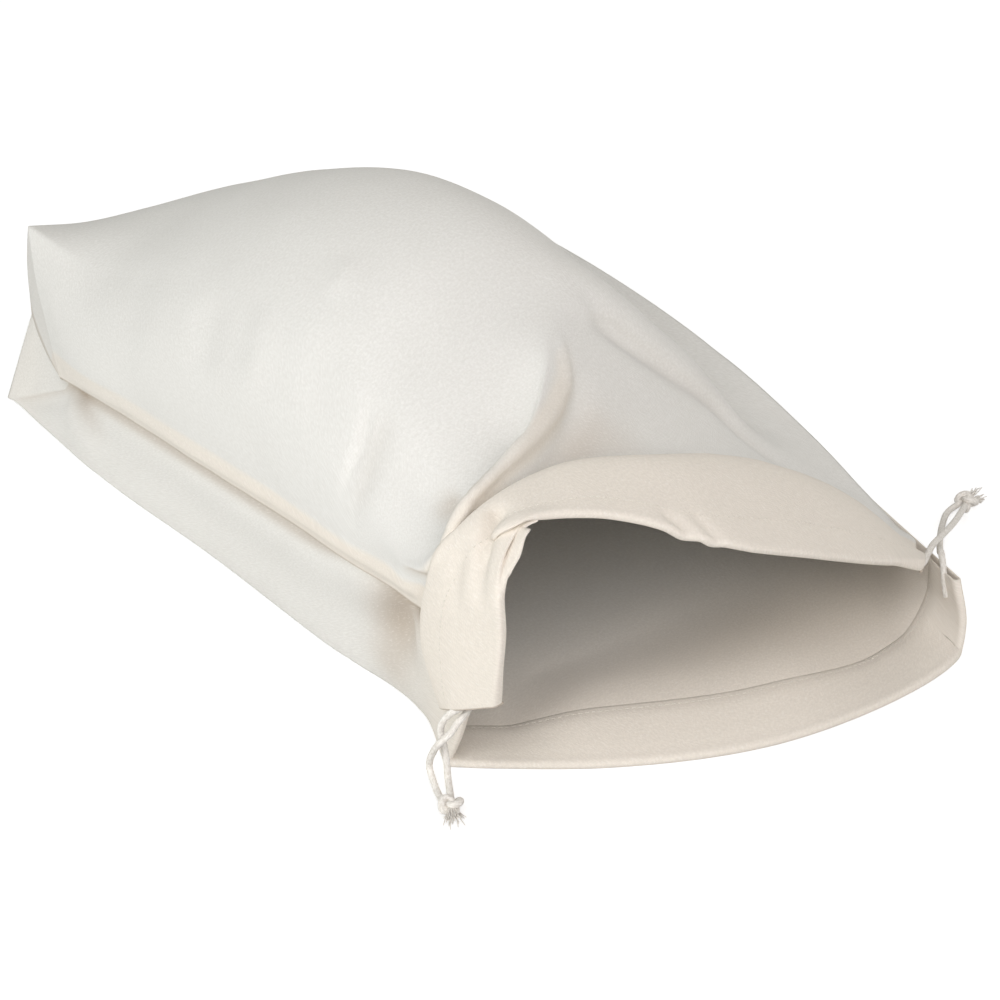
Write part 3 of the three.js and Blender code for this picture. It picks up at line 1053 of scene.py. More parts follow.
class Panel(ABC):
    """What both panels share: lines along the cloth, columns spread between them, and how they are made."""

    name: str
    piece: str
    face: Face
    thickness: float
    stitches: StitchRow
    flat_size: Pair
    held: str
    rests_on: str
    lines: Sequence[Any]
    column_steps: tuple[int, ...]

    @abstractmethod
    def surface(self) -> Array:
        """Grid of the whole panel: rows x columns x 3 points in mm."""

    @abstractmethod
    def stitched(self, grid: Array) -> tuple[int, Array]:
        """Number of the row that the casing's stitches follow, and of the columns that they pass."""

    @abstractmethod
    def cloth(self, grid: Array) -> Cloth:
        """The panel's cloth, from its grid."""

    def column(self, key: str) -> Array:
        """One point or value of every line, from the near seam to the far seam."""
        return np.array([getattr(line, key) for line in self.lines], float)

    def places(self) -> Array:
        """Place of each column among the lines."""
        return span_numbers(self.column_steps)

    def across(self, net: Sequence[Array]) -> Array:
        """Rows of points, one for each line, filled in with smooth columns between the lines."""
        return np.moveaxis(smooth(np.stack(net, axis=1), self.column_steps), 0, 1)

    def dress(self, material: bpy.types.Material, thread: bpy.types.Material) -> list[bpy.types.Object]:
        """Make the panel and its casing stitches, and say what it stands for and rides on.

        Args:
            material: the cloth's finish.
            thread: the stitches' finish.

        Returns:
            The panel and the stitches.
        """
        grid = self.surface()
        place = self.stitched(grid)
        normals = grid_normals(grid, self.face)[place]
        stitches = self.stitches.build(grid[place] + normals * self.thickness / 2, normals, thread)
        made = cloth_shell(self.piece, self.cloth(grid), self.thickness, self.face, material)
        settle(made, self.name)
        return [made, stitches]


@dataclass
class FrontPanel(Panel):
    """Front of the bag: its half of the boxed bottom, the swelling body, the folds and the mouth band."""

    name: str = "front_panel"
    piece: str = "cloth_front"
    face: Face = Face.ROWS_BY_COLUMNS
    thickness: float = 1.0
    stitches: StitchRow = StitchRow("front_stitches")
    flat_size: Pair = (0.40, 0.50)
    held: str = "draped"
    rests_on: str = "back_panel"
    axis_y: float = 110.0
    axis_z: float = 45.0
    crown_line: int = 5
    steep_lift: float = 3.0
    steep_foot: float = 1.0
    soft_foot: float = 10.0
    band_swell: float = 2.0
    unevenness: tuple[tuple[float, float, int], ...] = ((0.4, 46.0, 3), (0.18, 17.0, 5))
    even_rows: int = 8
    seam_tuck: float = 2.4
    tuck_turns: tuple[float, ...] = (30, 60, 90, 125)
    tuck_eased: float = 0.7
    tuck_rows: Pair = (-8, 4)
    tuck_step: float = 1.5
    tuck_shade: float = 0.8
    end_seam_shade: float = 0.4
    end_shade: float = 0.1
    end_shade_lines: Pair = (3.0, 3.6)
    # painted warm light on the leaning fold's flank and in a stripe by the near seam, with the doubled
    # band's tone
    warm_rows: tuple[int, int] = (3, 6)
    warm_wall: Pair = (0.8, 1.6)
    warm_crown: Pair = (4.7, 5.2)
    warm_crest: Pair = (4, 10)
    cool_hollow: Pair = (3.2, 4.0)
    cool_crest: float = 0.8
    stripe_edge: Pair = (11, 14)
    stripe_start: Pair = (60, 300)
    stripe_least: float = 0.7
    pleat_pressed: float = 0.85
    pleat_reach: float = 0.25
    pleat_rows: Pair = (-14, -8)
    end_bulge: Point = (-10.5, 3.0, 0.0)
    bulge_lines: tuple[float, ...] = (0, 1, 2, 3, 4, 8)
    bulge_share: tuple[float, ...] = (0, 0.3, 1.0, 0.6, 0.3, 0.25)
    casing: Casing = Casing(tunnel=3.4, turn=1.8, stitch_gap=1.3, end_share=1.5)
    corner_line: int = 3
    slip_lines: Four = (1.75, 2.6, 3.04, 3.1)
    drawn_lines: tuple[float, ...] = (1.0, 1.5, 2.0, 2.5, 3.03, 3.08, 3.6, 4.2, 4.8, 5.4)
    drawn_back: tuple[float, ...] = (0.0, 1.5, 4.0, 7.0, 8.0, 9.0, 8.0, 5.0, 3.0, 0.0)
    column_steps: tuple[int, ...] = (12, 17, 22, 24, 26, 38, 38, 16)
    end_steps: tuple[int, ...] = (5, 5)
    body_steps: tuple[int, ...] = (14, 14, 15, 18, 24, 16, 9, 13, 10, 10, 14, 18)
    hem_steps: tuple[int, ...] = (3, 4, 3, 4, 4, 4)
    lines: tuple[FrontLine, ...] = (
        FrontLine("near seam", 0, 0, (61, 0, 38), (60.2, 0.6, 37), (384, 0, 69), 0, (397, 0, 70),
                  (416, 0, 60), (419, -8, 35), 0.2, (455, -6, 54)),
        FrontLine("low wall", -3, 0.18, (50.5, 1, 58), (38.4, 5, 39.5), (386, -4, 86), 1, (399, -1, 86),
                  (418, -1, 80), (407, -9, 62), 0.3, (460, -6, 90)),
        FrontLine("wall", 0, 0.43, (32, 5, 82), (17, 10, 46), (408, -7, 98), 3, (415, -3, 97),
                  (420, -3, 97), (412, -8, 95), 0.36, (463, -6, 116)),
        FrontLine("shoulder", 17, 0.7, (18, 10, 102), (8, 13, 50), (416, 6, 127.5), 7, (422, 9, 119),
                  (429, 9, 122), (424, 8, 128), 0.5, (458, 12, 134)),
        FrontLine("near top", 52, 0.92, (12, 42, 93), (5, 45, 55), (404.5, 41, 136.5), 5, (415, 45, 121),
                  (429, 46, 123), (423, 45, 136), 0.66, (464, 42, 133)),
        FrontLine("crown", 112, 1, (6, 105, 87), (1, 105, 54), (358, 101, 150.5), 1, (398, 99, 114),
                  (429, 97, 113), (431, 95, 130), 0.76, (480, 90, 114)),
        FrontLine("far slope", 185, 0.55, (4, 180, 76), (1, 180, 52), (351, 180, 98), 0, (398, 160, 87),
                  (425, 157, 90), (428, 155, 106), 0.74, (480, 140, 92)),
        FrontLine("hollow", 246, 0, (10, 248, 62), (10, 252, 52), (356, 236, 44), 0, (396, 224, 49),
                  (423, 219, 52), (430, 214, 67), 0.72, (468, 200, 61)),
        FrontLine("far seam", 276, 0, (45, 275, 54), (44.4, 274.4, 53), (374, 273, 24), 0, (402, 266, 23),
                  (424, 257, 30), (436, 247, 34), 0.45, (461, 229, 47)),
    )
    sections: tuple[FrontSection, ...] = (
        FrontSection(80, 41, 124.5, 53, 54.2),
        FrontSection(150, 48, 156, 48, 56),
        FrontSection(220, 55, 178.5, 46, 53),
        FrontSection(290, 61, 179, 45, 43),
        FrontSection(340, 65, 159, 43, 31),
    )
    crest_line: tuple[Point, ...] = (
        (346, 103, 156), (360, 98, 152), (367, 96, 148), (374, 91, 142), (386, 75, 138), (399, 54, 137),
        (410, 28, 136), (417, 10, 131), (417, -1, 118), (416, -6, 108), (410, -8, 99),
    )
    creases: tuple[Crease, ...] = (
        # near seam's roll
        Crease(((72, -0.5, 44), (138, -0.6, 53), (204, -0.3, 59), (304, -0.6, 69), (392, -3, 77)),
               3.6, -2.4, 0.4, 1),
        # sharp pull down the near wall, with a hollow on each side
        Crease(((321, 23, 142), (329, 16, 133), (336, 6, 119), (336, -1, 102), (332, -3, 90)), 2.8, 1.8),
        Crease(((330, 24, 140), (340, 14, 128), (345, 5, 114), (345, -2, 98), (344, -3, 84)), 8, 2.4),
        Crease(((282, 26, 152), (294, 16, 140), (301, 5, 123), (301, -1, 105)), 14, 1.4),
        # short pull near the crown and soft waves along the wall
        Crease(((262, 52, 170), (271, 40, 163), (276, 32, 157)), 5, -1.4),
        Crease(((196, 18, 136), (208, 5, 118), (212, -2, 96)), 13, 2.0),
        Crease(((235, 24, 149), (251, 9, 131), (251, -1, 104)), 10, -1.6),
        Crease(((120, 30, 120), (135, 10, 105), (140, -2, 80)), 16, 1.6),
        # crest of the leaning fold, the hollow it leans over and the one tucked behind it
        Crease(crest_line, 3.2, -3.2, 0, 0.5, 0.2),
        Crease(((362, 112, 143), (374, 102, 137), (385, 90, 131), (397, 74, 126), (410, 52, 121)),
               8, 4.0, 0.1, 0.4),
        Crease(((396, 34, 138), (407, 16, 132), (409, 5, 126), (408, -3, 116), (402, -6, 104)), 7, 4.0),
        # far valley
        Crease(((322, 122, 166), (340, 134, 146), (343, 153, 127), (346, 175, 108), (346, 205, 79),
                (352, 226, 50)), 7, 4.0, 0, 0.4, 0.25),
        # pleat that runs down the near band, and the soft pull beside it
        Crease(((437, 9, 132), (440, 1, 125), (444, -4, 118), (449, -8, 109), (452, -8, 94)),
               4.5, 4.2, 1, 0, 0.7),
        Crease(((428, 2, 126), (431, -5, 115), (434, -9, 100), (436, -10, 84)), 6, 1.8),
        # small puckers by the upper casing
        Crease(((462, 72, 125), (477, 81, 118)), 3.4, 2.6, 0, 1),
        Crease(((464, 86, 120), (479, 92, 112)), 3.4, 2.2, 0, 1),
    )
    pleat: Pleat = Pleat()
    shades: tuple[Crease, ...] = (
        Crease(((400, 26, 136), (408, 14, 131), (409, 5, 126), (408, -3, 116), (403, -6, 106)), 6, 0.5),
        Crease(((434, 8, 131.5), (437, 5, 129), (440, 0, 124), (445, -5, 116)), 4, 0.45, 1, 0, 0.7),
        Crease(((340, 134, 146), (343, 153, 127), (346, 175, 108), (346, 205, 79), (352, 226, 50)),
               6, 0.16, 0.3, 0.3),
        Crease(((396.3, 24.3, 118), (394.8, 18.3, 111), (393.3, 13.3, 102)), 7, 0.65),
        Crease(((331, 24, 140), (341, 14, 128), (346, 5, 114), (346, -2, 98), (344, -3, 84)), 8, 0.12),
        Crease(((412, 54, 120), (397, 80, 120), (392, 100, 118), (392, 130, 102)), 16, 0.26, 0.7, 0),
        Crease(((372, 114, 138), (382, 104, 131), (394, 86, 124), (408, 60, 121)), 8, 0.2, 0, 0.5),
    )

    def outward(self, points: Array) -> Array:
        """Direction from the middle of the filled bag to each point, across the bag."""
        return unit((points - (0, self.axis_y, self.axis_z)) * (0, 1, 1))

    def section(self, cut: FrontSection) -> Array:
        """Row across the body: each line stands at its rise between the foot on its side and the crown.

        Args:
            cut: heights of the section.

        Returns:
            One point for each line.
        """
        y, rise = self.column("y"), self.column("rise")
        foot = np.where(np.arange(len(y)) <= self.crown_line, cut.seam, cut.hollow)
        row = np.stack((np.full(len(y), cut.x), y, foot + (cut.crown - foot) * rise), axis=-1)
        row[-1, 2] = cut.far
        return row

    def net(self) -> list[Array]:
        """Rows of the net from the first section of the body to the mouth.

        Returns:
            Rows of points, one point for each line.
        """
        roll, crest, mouth = (self.column(key) for key in ("roll", "crest", "mouth"))
        lift = self.column("lift")[:, None]
        foot = roll - self.outward(roll) * lift
        foot[:, 0] -= np.where(lift[:, 0] > self.steep_lift, self.steep_foot, self.soft_foot)
        foot[self.crown_line :] = (self.section(self.sections[-1]) + roll)[self.crown_line :] / 2
        share = self.column("stitch")[:, None]
        stitch = crest + (mouth - crest) * share + self.outward(crest) * self.band_swell
        body = [self.section(cut) for cut in self.sections]
        return [*body, foot, roll, self.column("dip"), self.column("under"), crest, stitch, mouth]

    def slip(self) -> Array:
        """For each column, how far the casing's inner layer has slipped out: only round the near corner."""
        a, b, c, d = self.slip_lines
        return ramp(self.places(), a, b) * (1 - ramp(self.places(), c, d))

    def outer(self) -> Array:
        """Grid of the outer layer, from the bottom edge to the mouth, with its creases pressed in.

        Returns:
            Rows x columns x 3 points in mm.
        """
        rows = self.across(self.net())
        bottom = cornered(self.column("bottom"), self.column_steps, (self.corner_line,))
        stitch, edge = rows[-2], rows[-1]
        drawn = np.interp(self.places(), self.drawn_lines, self.drawn_back)
        rows[-1] = edge - unit(edge - stitch) * drawn[:, None]
        return self.pressed(relax(smooth(np.concatenate((bottom[None], rows)), self.body_steps)))

    def surface(self) -> Array:
        """Grid of the whole panel: end wall, body, folds, band and the layer turned in behind it.

        Returns:
            Rows x columns x 3 points in mm.
        """
        outer = self.outer()
        places, pleat, hem = self.places(), self.pleat, self.body_steps[-1]
        seam = smooth(self.column("seam"), self.column_steps)
        bulge = np.array(self.end_bulge) * np.interp(places, self.bulge_lines, self.bulge_share)[:, None]
        end = smooth(np.stack((seam, (seam + outer[0]) / 2 + bulge, outer[0])), self.end_steps)
        ways = [pleat.widened(way, places) for way in self.casing.ways(outer[-1 - hem], outer[-1], 1)]
        flat = 1 - self.pleat_pressed * pleat.widened(bell(places - pleat.place, self.pleat_reach), places)
        ways[1] = ways[1] * flat[:, None]
        outer = pleat.fold(outer, grid_normals(outer, self.face), places)
        end = np.stack([pleat.widened(row, places) for row in end])
        first = pleat.split(places)
        last = first + pleat.columns
        end[:, first:last] = pleat.levelled(end[:, first - 1], end[:, last])
        slip = pleat.widened(self.slip(), places)
        rows = self.casing.rows(outer[-1 - hem], outer[-1], ways, slip)
        turned = smooth(np.stack((outer[-1], *rows)), self.hem_steps)
        return np.concatenate((folded(end, outer), turned[1:]))

    def pressed(self, grid: Array) -> Array:
        """Grid with its creases pressed in and the cloth's slight unevenness, along its normals.

        Args:
            grid: rows x columns x 3 points.

        Returns:
            The pressed grid.
        """
        normals = grid_normals(grid, self.face)
        places = flat_lengths(grid)
        uneven = sum(height * value_noise(places, cell, seed) for height, cell, seed in self.unevenness)
        sink = total(self.creases, grid) + uneven * ramp(np.arange(len(grid)), 0, self.even_rows)[:, None]
        return grid - normals * sink[..., None]

    def tuck(self, grid: Array) -> Array:
        """Grid with a small roll added along both side seams, where the cloth turns under.

        Args:
            grid: rows x columns x 3 points of the panel.

        Returns:
            Grid with more columns on each side.
        """
        angles = np.radians(self.tuck_turns)[:, None, None]
        near, far = grid[:, 0][None], grid[:, -1][None]
        turn = self.seam_tuck
        under = np.concatenate((0 * angles, turn * (1 - np.cos(angles)), -turn * np.sin(angles)), axis=-1)
        band = len(grid) - 1 - sum(self.hem_steps) - sum(self.body_steps[-2:])
        under = under * (1 - self.tuck_eased * ramp(np.arange(len(grid)) - band, *self.tuck_rows))[:, None]
        near_roll = np.moveaxis(near + under, 0, 1)[:, ::-1]
        far_roll = np.moveaxis(far + under * (1, -1, 1), 0, 1)
        return np.concatenate((near_roll, grid, far_roll), axis=1)

    def warmth(self, grid: Array) -> Array:
        """Share of warm tone, partly the doubled cloth and partly painted warm light: full on the band and
        the leaning fold, part in hollows and by the seam.

        Args:
            grid: rows x columns x 3 points of the panel.

        Returns:
            Rows x columns shares.
        """
        row = np.arange(len(grid))[:, None] - (len(grid) - 1 - sum(self.hem_steps))
        column = self.pleat.widened(self.places(), self.places())[None, :]
        roll, under = -sum(self.body_steps[7:]), -sum(self.body_steps[9:])
        near, far = self.warm_rows
        flank = ramp(row, roll - near, roll + near) * (1 - ramp(column, *self.warm_crown))
        flank = flank * ramp(column, *self.warm_wall)
        crest = 1 - ramp(nearest_on_line(grid, self.crest_line)[0], *self.warm_crest)
        hollow = 1 - ramp(column, *self.cool_hollow) * (1 - self.cool_crest * crest)
        folds = np.maximum(flank * hollow, ramp(row, under, under + far))
        stripe = self.stripe_least + (1 - self.stripe_least) * ramp(grid[..., 0], *self.stripe_start)
        seam = (1 - ramp(run_lengths(grid, axis=1), *self.stripe_edge)) * stripe
        return np.clip(np.maximum(folds, seam), 0, 1)

    def shade(self, grid: Array) -> Array:
        """Share of shade: in the folds, on the near end of the bottom and along its seam.

        Args:
            grid: rows x columns x 3 points of the panel.

        Returns:
            Rows x columns shares.
        """
        shade = total(self.shades, grid)
        lines = self.pleat.widened(self.places(), self.places())
        end = sum(self.end_steps) + 1
        shade[:end] += self.end_shade * (1 - ramp(lines, *self.end_shade_lines))
        shade[:2] += self.end_seam_shade
        return shade

    def kept(self, grid: Array) -> Array:
        """Numbers of the columns other than the pleat's own."""
        k = self.pleat.split(self.places())
        return np.delete(np.arange(grid.shape[1]), slice(k, k + self.pleat.columns))

    def flat(self, grid: Array) -> Array:
        """Flat lengths of the panel, with the pleat's own columns measured along the fold.

        Args:
            grid: rows x columns x 3 points of the panel.

        Returns:
            Rows x columns x 2 lengths in mm.
        """
        k, extra = self.pleat.split(self.places()), self.pleat.columns
        plain = flat_lengths(grid[:, self.kept(grid)])
        under = np.repeat(plain[:, k - 1 : k], extra, axis=1)
        flat = np.concatenate((plain[:, :k], under, plain[:, k:]), axis=1)
        flat[:, k : k + extra, 0] += run_lengths(grid[:, k - 1 : k + extra], axis=1)[:, 1:]
        return flat

    def facing(self, rolled: Array, wide: int) -> Array:
        """Outward normals, kept level across the pleat's own columns where it isn't folded.

        Args:
            rolled: rows x columns x 3 points of the panel with its side seams rolled under.
            wide: number of columns in each roll.

        Returns:
            Rows x columns x 3 normals.
        """
        normals = grid_normals(rolled, self.face)
        first = self.pleat.split(self.places()) + wide - 1
        last = first + self.pleat.columns + 1
        level = self.pleat.levelled(normals[:, first], normals[:, last])
        row = np.arange(len(rolled)) - (len(rolled) - sum(self.hem_steps))
        opened = ramp(row, *self.pleat_rows)[:, None, None]
        normals[:, first + 1 : last] = unit(level * (1 - opened) + normals[:, first + 1 : last] * opened)
        return normals

    def cloth(self, grid: Array) -> Cloth:
        """The whole panel with its side seams rolled under, its flat lengths and its tones.

        Args:
            grid: rows x columns x 3 points of the panel.

        Returns:
            The cloth.
        """
        rolled = self.tuck(grid)
        wide = (rolled.shape[1] - grid.shape[1]) // 2
        pad = ((0, 0), (wide, wide))
        step = np.arange(wide, 0, -1) * self.tuck_step
        flat = np.pad(self.flat(grid), (*pad, (0, 0)), mode="edge")
        flat[:, :wide, 0] -= step
        flat[:, -wide:, 0] += step[::-1]
        warmth, shade = (np.pad(tone, pad, mode="edge") for tone in (self.warmth(grid), self.shade(grid)))
        turn = np.pad(np.zeros(grid.shape[:2]), pad, constant_values=self.tuck_shade)
        return Cloth(rolled, self.facing(rolled, wide), flat, warmth, np.clip(shade + turn, 0, 1))

    def stitched(self, grid: Array) -> tuple[int, Array]:
        """Row at the start of the casing, across the columns that aren't by the seams or in the pleat."""
        return len(grid) - 1 - sum(self.hem_steps) - self.body_steps[-1], self.kept(grid)[2:-2]


@dataclass
class BackPanel(Panel):
    """Back of the bag: the rest of the boxed bottom, the flat floor, low side walls and the lip's casing."""

    name: str = "back_panel"
    piece: str = "cloth_back"
    face: Face = Face.COLUMNS_BY_ROWS
    thickness: float = 1.0
    stitches: StitchRow = StitchRow("back_stitches")
    flat_size: Pair = (0.38, 0.50)
    held: str = "laid"
    rests_on: str = "the surface"
    seam_lap: float = 6.0
    near_lap: float = 3.0
    near_lean: float = 0.5
    near_height: float = 0.42
    fold_out: float = 1.0
    fold_below: float = 7.0
    far_out: float = 14.0
    far_height: float = 0.5
    far_seam_y: float = 274.0
    far_seam_below: float = 1.4
    floor_lines: Pair = (90.0, 180.0)
    lip_casing: float = 32.0
    lip_casing_most: float = 0.8
    lip_rise: tuple[float, ...] = (0, 0, 0, 2.0, 8.5, 8.5, 5.0, 0, 0)
    casing: Casing = Casing(tunnel=2.4, turn=1.3, stitch_gap=0.0, end_share=1.4)
    corner_lines: tuple[int, int] = (1, 3)
    column_steps: tuple[int, ...] = (8, 12, 16, 30, 30, 30, 16, 14)
    end_steps: tuple[int, ...] = (12,)
    body_steps: tuple[int, ...] = (26, 18, 22, 18, 16, 14)
    hem_steps: tuple[int, ...] = (3, 4, 3, 5, 4, 4)
    lines: tuple[BackLine, ...] = (
        BackLine("near seam", (65, 4.2, 41), (64.4, 4.6, 42), (418, 6, 34)),
        BackLine("near fold", (56, 3.8, 27), (53, 6.0, 42.5), (417.5, 5.5, 26)),
        BackLine("near wall", (34, 1.4, 16.5), (33, 8.5, 45), (416.5, 2, 14)),
        BackLine("near edge", (3, -2.6, 0.5), (9, 14.5, 53), (414.8, -2.9, 0.5)),
        BackLine("near floor", (-2, 90, 0.5), (6, 90, 57), (455, 52, 0.5)),
        BackLine("far floor", (-2, 180, 0.5), (5, 180, 54.5), (485, 128, 0.5)),
        BackLine("far edge", (2, 262, 0.5), (15, 246, 53), (477, 240, 0.5)),
        BackLine("far wall", (24, 272, 28), (30, 264, 52), (471, 248, 13)),
        BackLine("far seam", (47, 273, 50.5), (46.4, 272.6, 51.5), (462, 251, 30)),
    )
    sections: tuple[BackSection, ...] = (
        BackSection(120, 45, -2.8, 258, 56),
        BackSection(200, 53, 3, 256, 53),
        BackSection(300, 62, 6.5, 254, 40),
        BackSection(380, 69, 11, 250, 23),
    )
    creases: tuple[Crease, ...] = (
        # pocket behind the near band, and the one where the bottom's corner is drawn in
        Crease(((380, 6, 72), (368, 9, 48), (360, 10, 30), (352, 9, 10)), 13, 13.0, 1, 0, 0.7),
        Crease(((64, 4, 40), (74, 5, 35), (90, 6, 30)), 11, 3.0, 1, 0, 0.7),
        # hollow under the level edge of the bottom's corner
        Crease(((10, 2, 2), (36, 1, 12), (60, 3, 22)), 5, 2.6, 0.3, 0.6),
        # soft ridge down the strip from that corner
        Crease(((56, 1, 22), (76, -1, 15), (108, -2, 9)), 9, -2.0),
    )
    # painted warm light on the lip and the bottom, with the doubled casing's tone by the lip
    warm_least: float = 0.08
    warm_lip: float = 0.9
    warm_lip_x: Pair = (330, 430)
    warm_bottom: float = 0.25
    warm_bottom_x: Pair = (-60, -10)
    edge_shade: float = 0.3
    edge_width: float = 8.0
    edge_lines: Pair = (2.6, 3.0)
    groove_shade: float = 0.5
    groove_from: float = 9.0
    groove_width: float = 3.0
    groove_start_x: Pair = (50, 80)
    groove_end_x: Pair = (400, 420)
    shades: tuple[Crease, ...] = (
        Crease(((380, 8, 74), (368, 9, 56), (360, 9, 38), (354, 7, 18)), 15, 0.8, 1, 0.6, 0.4),
        Crease(((62, 5, 40), (74, 5, 34), (92, 4, 29), (116, 3, 26)), 9, 0.7, 1, 0, 0.8),
    )

    def section(self, cut: BackSection) -> Array:
        """Row across the panel: up the near wall's lap, down to the floor, across it and up the far wall.

        Args:
            cut: heights and feet of the section.

        Returns:
            One point for each line.
        """
        floor = self.thickness / 2
        return np.array([
            (cut.x, self.seam_lap, cut.seam + self.near_lap),
            (cut.x, self.fold_out, cut.seam - self.fold_below),
            (cut.x, self.fold_out + cut.near_y * self.near_lean, cut.seam * self.near_height),
            (cut.x, cut.near_y, floor),
            *((cut.x, y, floor) for y in self.floor_lines),
            (cut.x, cut.far_y, floor),
            (cut.x, cut.far_y + self.far_out, cut.far * self.far_height),
            (cut.x, self.far_seam_y, cut.far - self.far_seam_below),
        ])

    def outer(self) -> Array:
        """Grid of the outer layer, from the arch of the bottom to the lip, no lower than the surface.

        Returns:
            Rows x columns x 3 points in mm.
        """
        body = [self.section(cut) for cut in self.sections]
        lip = self.column("lip")
        ahead = lip - body[-1]
        reach = np.linalg.norm(ahead, axis=-1, keepdims=True)
        stitch = lip - ahead * np.minimum(self.lip_casing_most, self.lip_casing / reach)
        stitch[:, 2] += self.lip_rise
        arch = cornered(self.column("arch"), self.column_steps, self.corner_lines)
        rows = np.concatenate((arch[None], self.across([*body, stitch, lip])))
        rows[..., 2] = np.maximum(rows[..., 2], self.thickness / 2)
        grid = relax(smooth(rows, self.body_steps))
        grid = grid - grid_normals(grid, self.face) * total(self.creases, grid)[..., None]
        grid[..., 2] = np.maximum(grid[..., 2], self.thickness / 2)
        return grid

    def surface(self) -> Array:
        """Grid of the whole panel: end wall, floor and low walls, and the casing turned in along the lip.

        Returns:
            Rows x columns x 3 points in mm.
        """
        outer = self.outer()
        seam = smooth(self.column("seam"), self.column_steps)
        end = smooth(np.stack((seam, outer[0])), self.end_steps)
        stitch, edge = outer[-1 - self.body_steps[-1]], outer[-1]
        rows = self.casing.rows(stitch, edge, self.casing.ways(stitch, edge, -1), np.zeros(len(edge)))
        turned = smooth(np.stack((edge, *rows)), self.hem_steps)
        return np.concatenate((folded(end, outer), turned[1:]))

    def warmth(self, grid: Array) -> Array:
        """Share of warm tone, partly the doubled casing and partly painted warm light: full by the lip, less
        on the bottom and the wall that leads to the lip.

        Args:
            grid: rows x columns x 3 points of the panel.

        Returns:
            Rows x columns shares.
        """
        x = grid[..., 0]
        lip = self.warm_lip * ramp(x, *self.warm_lip_x)
        bottom = self.warm_bottom * ramp(-x, *self.warm_bottom_x)
        return np.clip(self.warm_least + lip + bottom, 0, 1)

    def shade(self, grid: Array) -> Array:
        """Share of shade: in the pockets, under the edge of the bottom's corner and along the near seam.

        Args:
            grid: rows x columns x 3 points of the panel.

        Returns:
            Rows x columns shares.
        """
        x = grid[..., 0]
        past_lap = np.maximum(run_lengths(grid, axis=1) - self.groove_from, 0)
        groove = bell(past_lap, self.groove_width)
        groove = groove * ramp(x, *self.groove_start_x) * (1 - ramp(x, *self.groove_end_x))
        arch = sum(self.end_steps) + 2
        run = run_lengths(grid)
        below = bell(run - run[arch], self.edge_width) * (np.arange(len(grid)) > arch)[:, None]
        below = below * (1 - ramp(self.places(), *self.edge_lines))
        lines = self.edge_shade * below + self.groove_shade * groove
        return np.clip(total(self.shades, grid) + lines, 0, 1)

    def cloth(self, grid: Array) -> Cloth:
        """The whole panel with its flat lengths and its tones."""
        normals = grid_normals(grid, self.face)
        return Cloth(grid, normals, flat_lengths(grid), self.warmth(grid), self.shade(grid))

    def stitched(self, grid: Array) -> tuple[int, Array]:
        """Row halfway along the turned-in layer's last stretch, across all but the outermost columns."""
        return len(grid) - 1 - self.hem_steps[-1] // 2, np.arange(2, grid.shape[1] - 2)


@dataclass(frozen=True)
class Braid:
    """Braided cotton cord: a round tube raised where its two sets of helical strands cross over."""

    radius: float = 1.6
    sides: int = 20
    spacing: float = 0.4
    strands: int = 4
    pitch: float = 8.5
    relief: float = 0.17

    def tube(self, path: Array, sides: Array, ups: Array) -> tuple[Array, Array]:
        """Points round a path: the radius follows the higher of two helices that wind opposite ways.

        Args:
            path: points x 3 along the middle of the cord, in mm.
            sides: unit vectors across it.
            ups: unit vectors across it, square to the sides.

        Returns:
            Points x sides x 3 surface points, and their places in the cord's map in metres.
        """
        angle = ring_angles(self.sides)
        run = run_lengths(path)[:, None]
        twist = 2 * np.pi * run / self.pitch
        over = np.cos(self.strands * (angle + twist))
        under = np.cos(self.strands * (angle - twist))
        radius = self.radius - self.relief + self.relief * np.maximum(over, under)
        places = np.stack(np.broadcast_arrays(angle * self.radius, run), axis=-1) * MM
        return path[:, None] + rings(sides, ups, self.sides) * radius[..., None], places


@dataclass
class Strand:
    """One free strand of a drawcord, from just inside its casing to its knot."""

    name: str
    route: tuple[Point, ...]
    exit: Point
    braid: Braid = Braid()
    curve_steps: int = 12
    stated_steps: int = 40

    def path(self) -> Array:
        """Smooth, evenly spaced points along the strand, in mm."""
        steps = [self.curve_steps] * (len(self.route) - 1)
        return resample(smooth(np.array(self.route, float), steps), self.braid.spacing)

    def build(self, material: bpy.types.Material) -> bpy.types.Object:
        """Make the strand's mesh, closed at both ends.

        Args:
            material: the cord's finish.

        Returns:
            The strand.
        """
        path = self.path()
        surface, places = self.braid.tube(path, *carried_frames(path))
        count = self.braid.sides
        last = len(path) * count
        ring = np.arange(count)
        after = (ring + 1) % count
        quads = grid_faces(len(path), count, closed=True)[:, ::-1]
        start = np.stack((np.full(count, last), ring, after), axis=-1)[:, ::-1]
        end = np.stack((np.full(count, last + 1), last - count + ring, last - count + after), axis=-1)
        vertices = np.concatenate((surface.reshape(-1, 3), path[[0, -1]]))
        made = new_object("cord_" + self.name, to_frame(vertices), (quads, start, end), material)
        set_map(made, CORD_MAP, np.concatenate((places.reshape(-1, 2), places[[0, -1], 0])))
        return made

    def dress(self, material: bpy.types.Material, knot: bpy.types.Object) -> bpy.types.Object:
        """Args:
            material: the cord's finish.
            knot: the knot at its end; not used.

        Returns:
            The strand.
        """
        made = self.build(material)
        settle(made, self.name)
        path = to_frame(self.path())
        float(run_lengths(path)[-1])
        resample(path, run_lengths(path)[-1] / self.stated_steps).tolist()
        return made


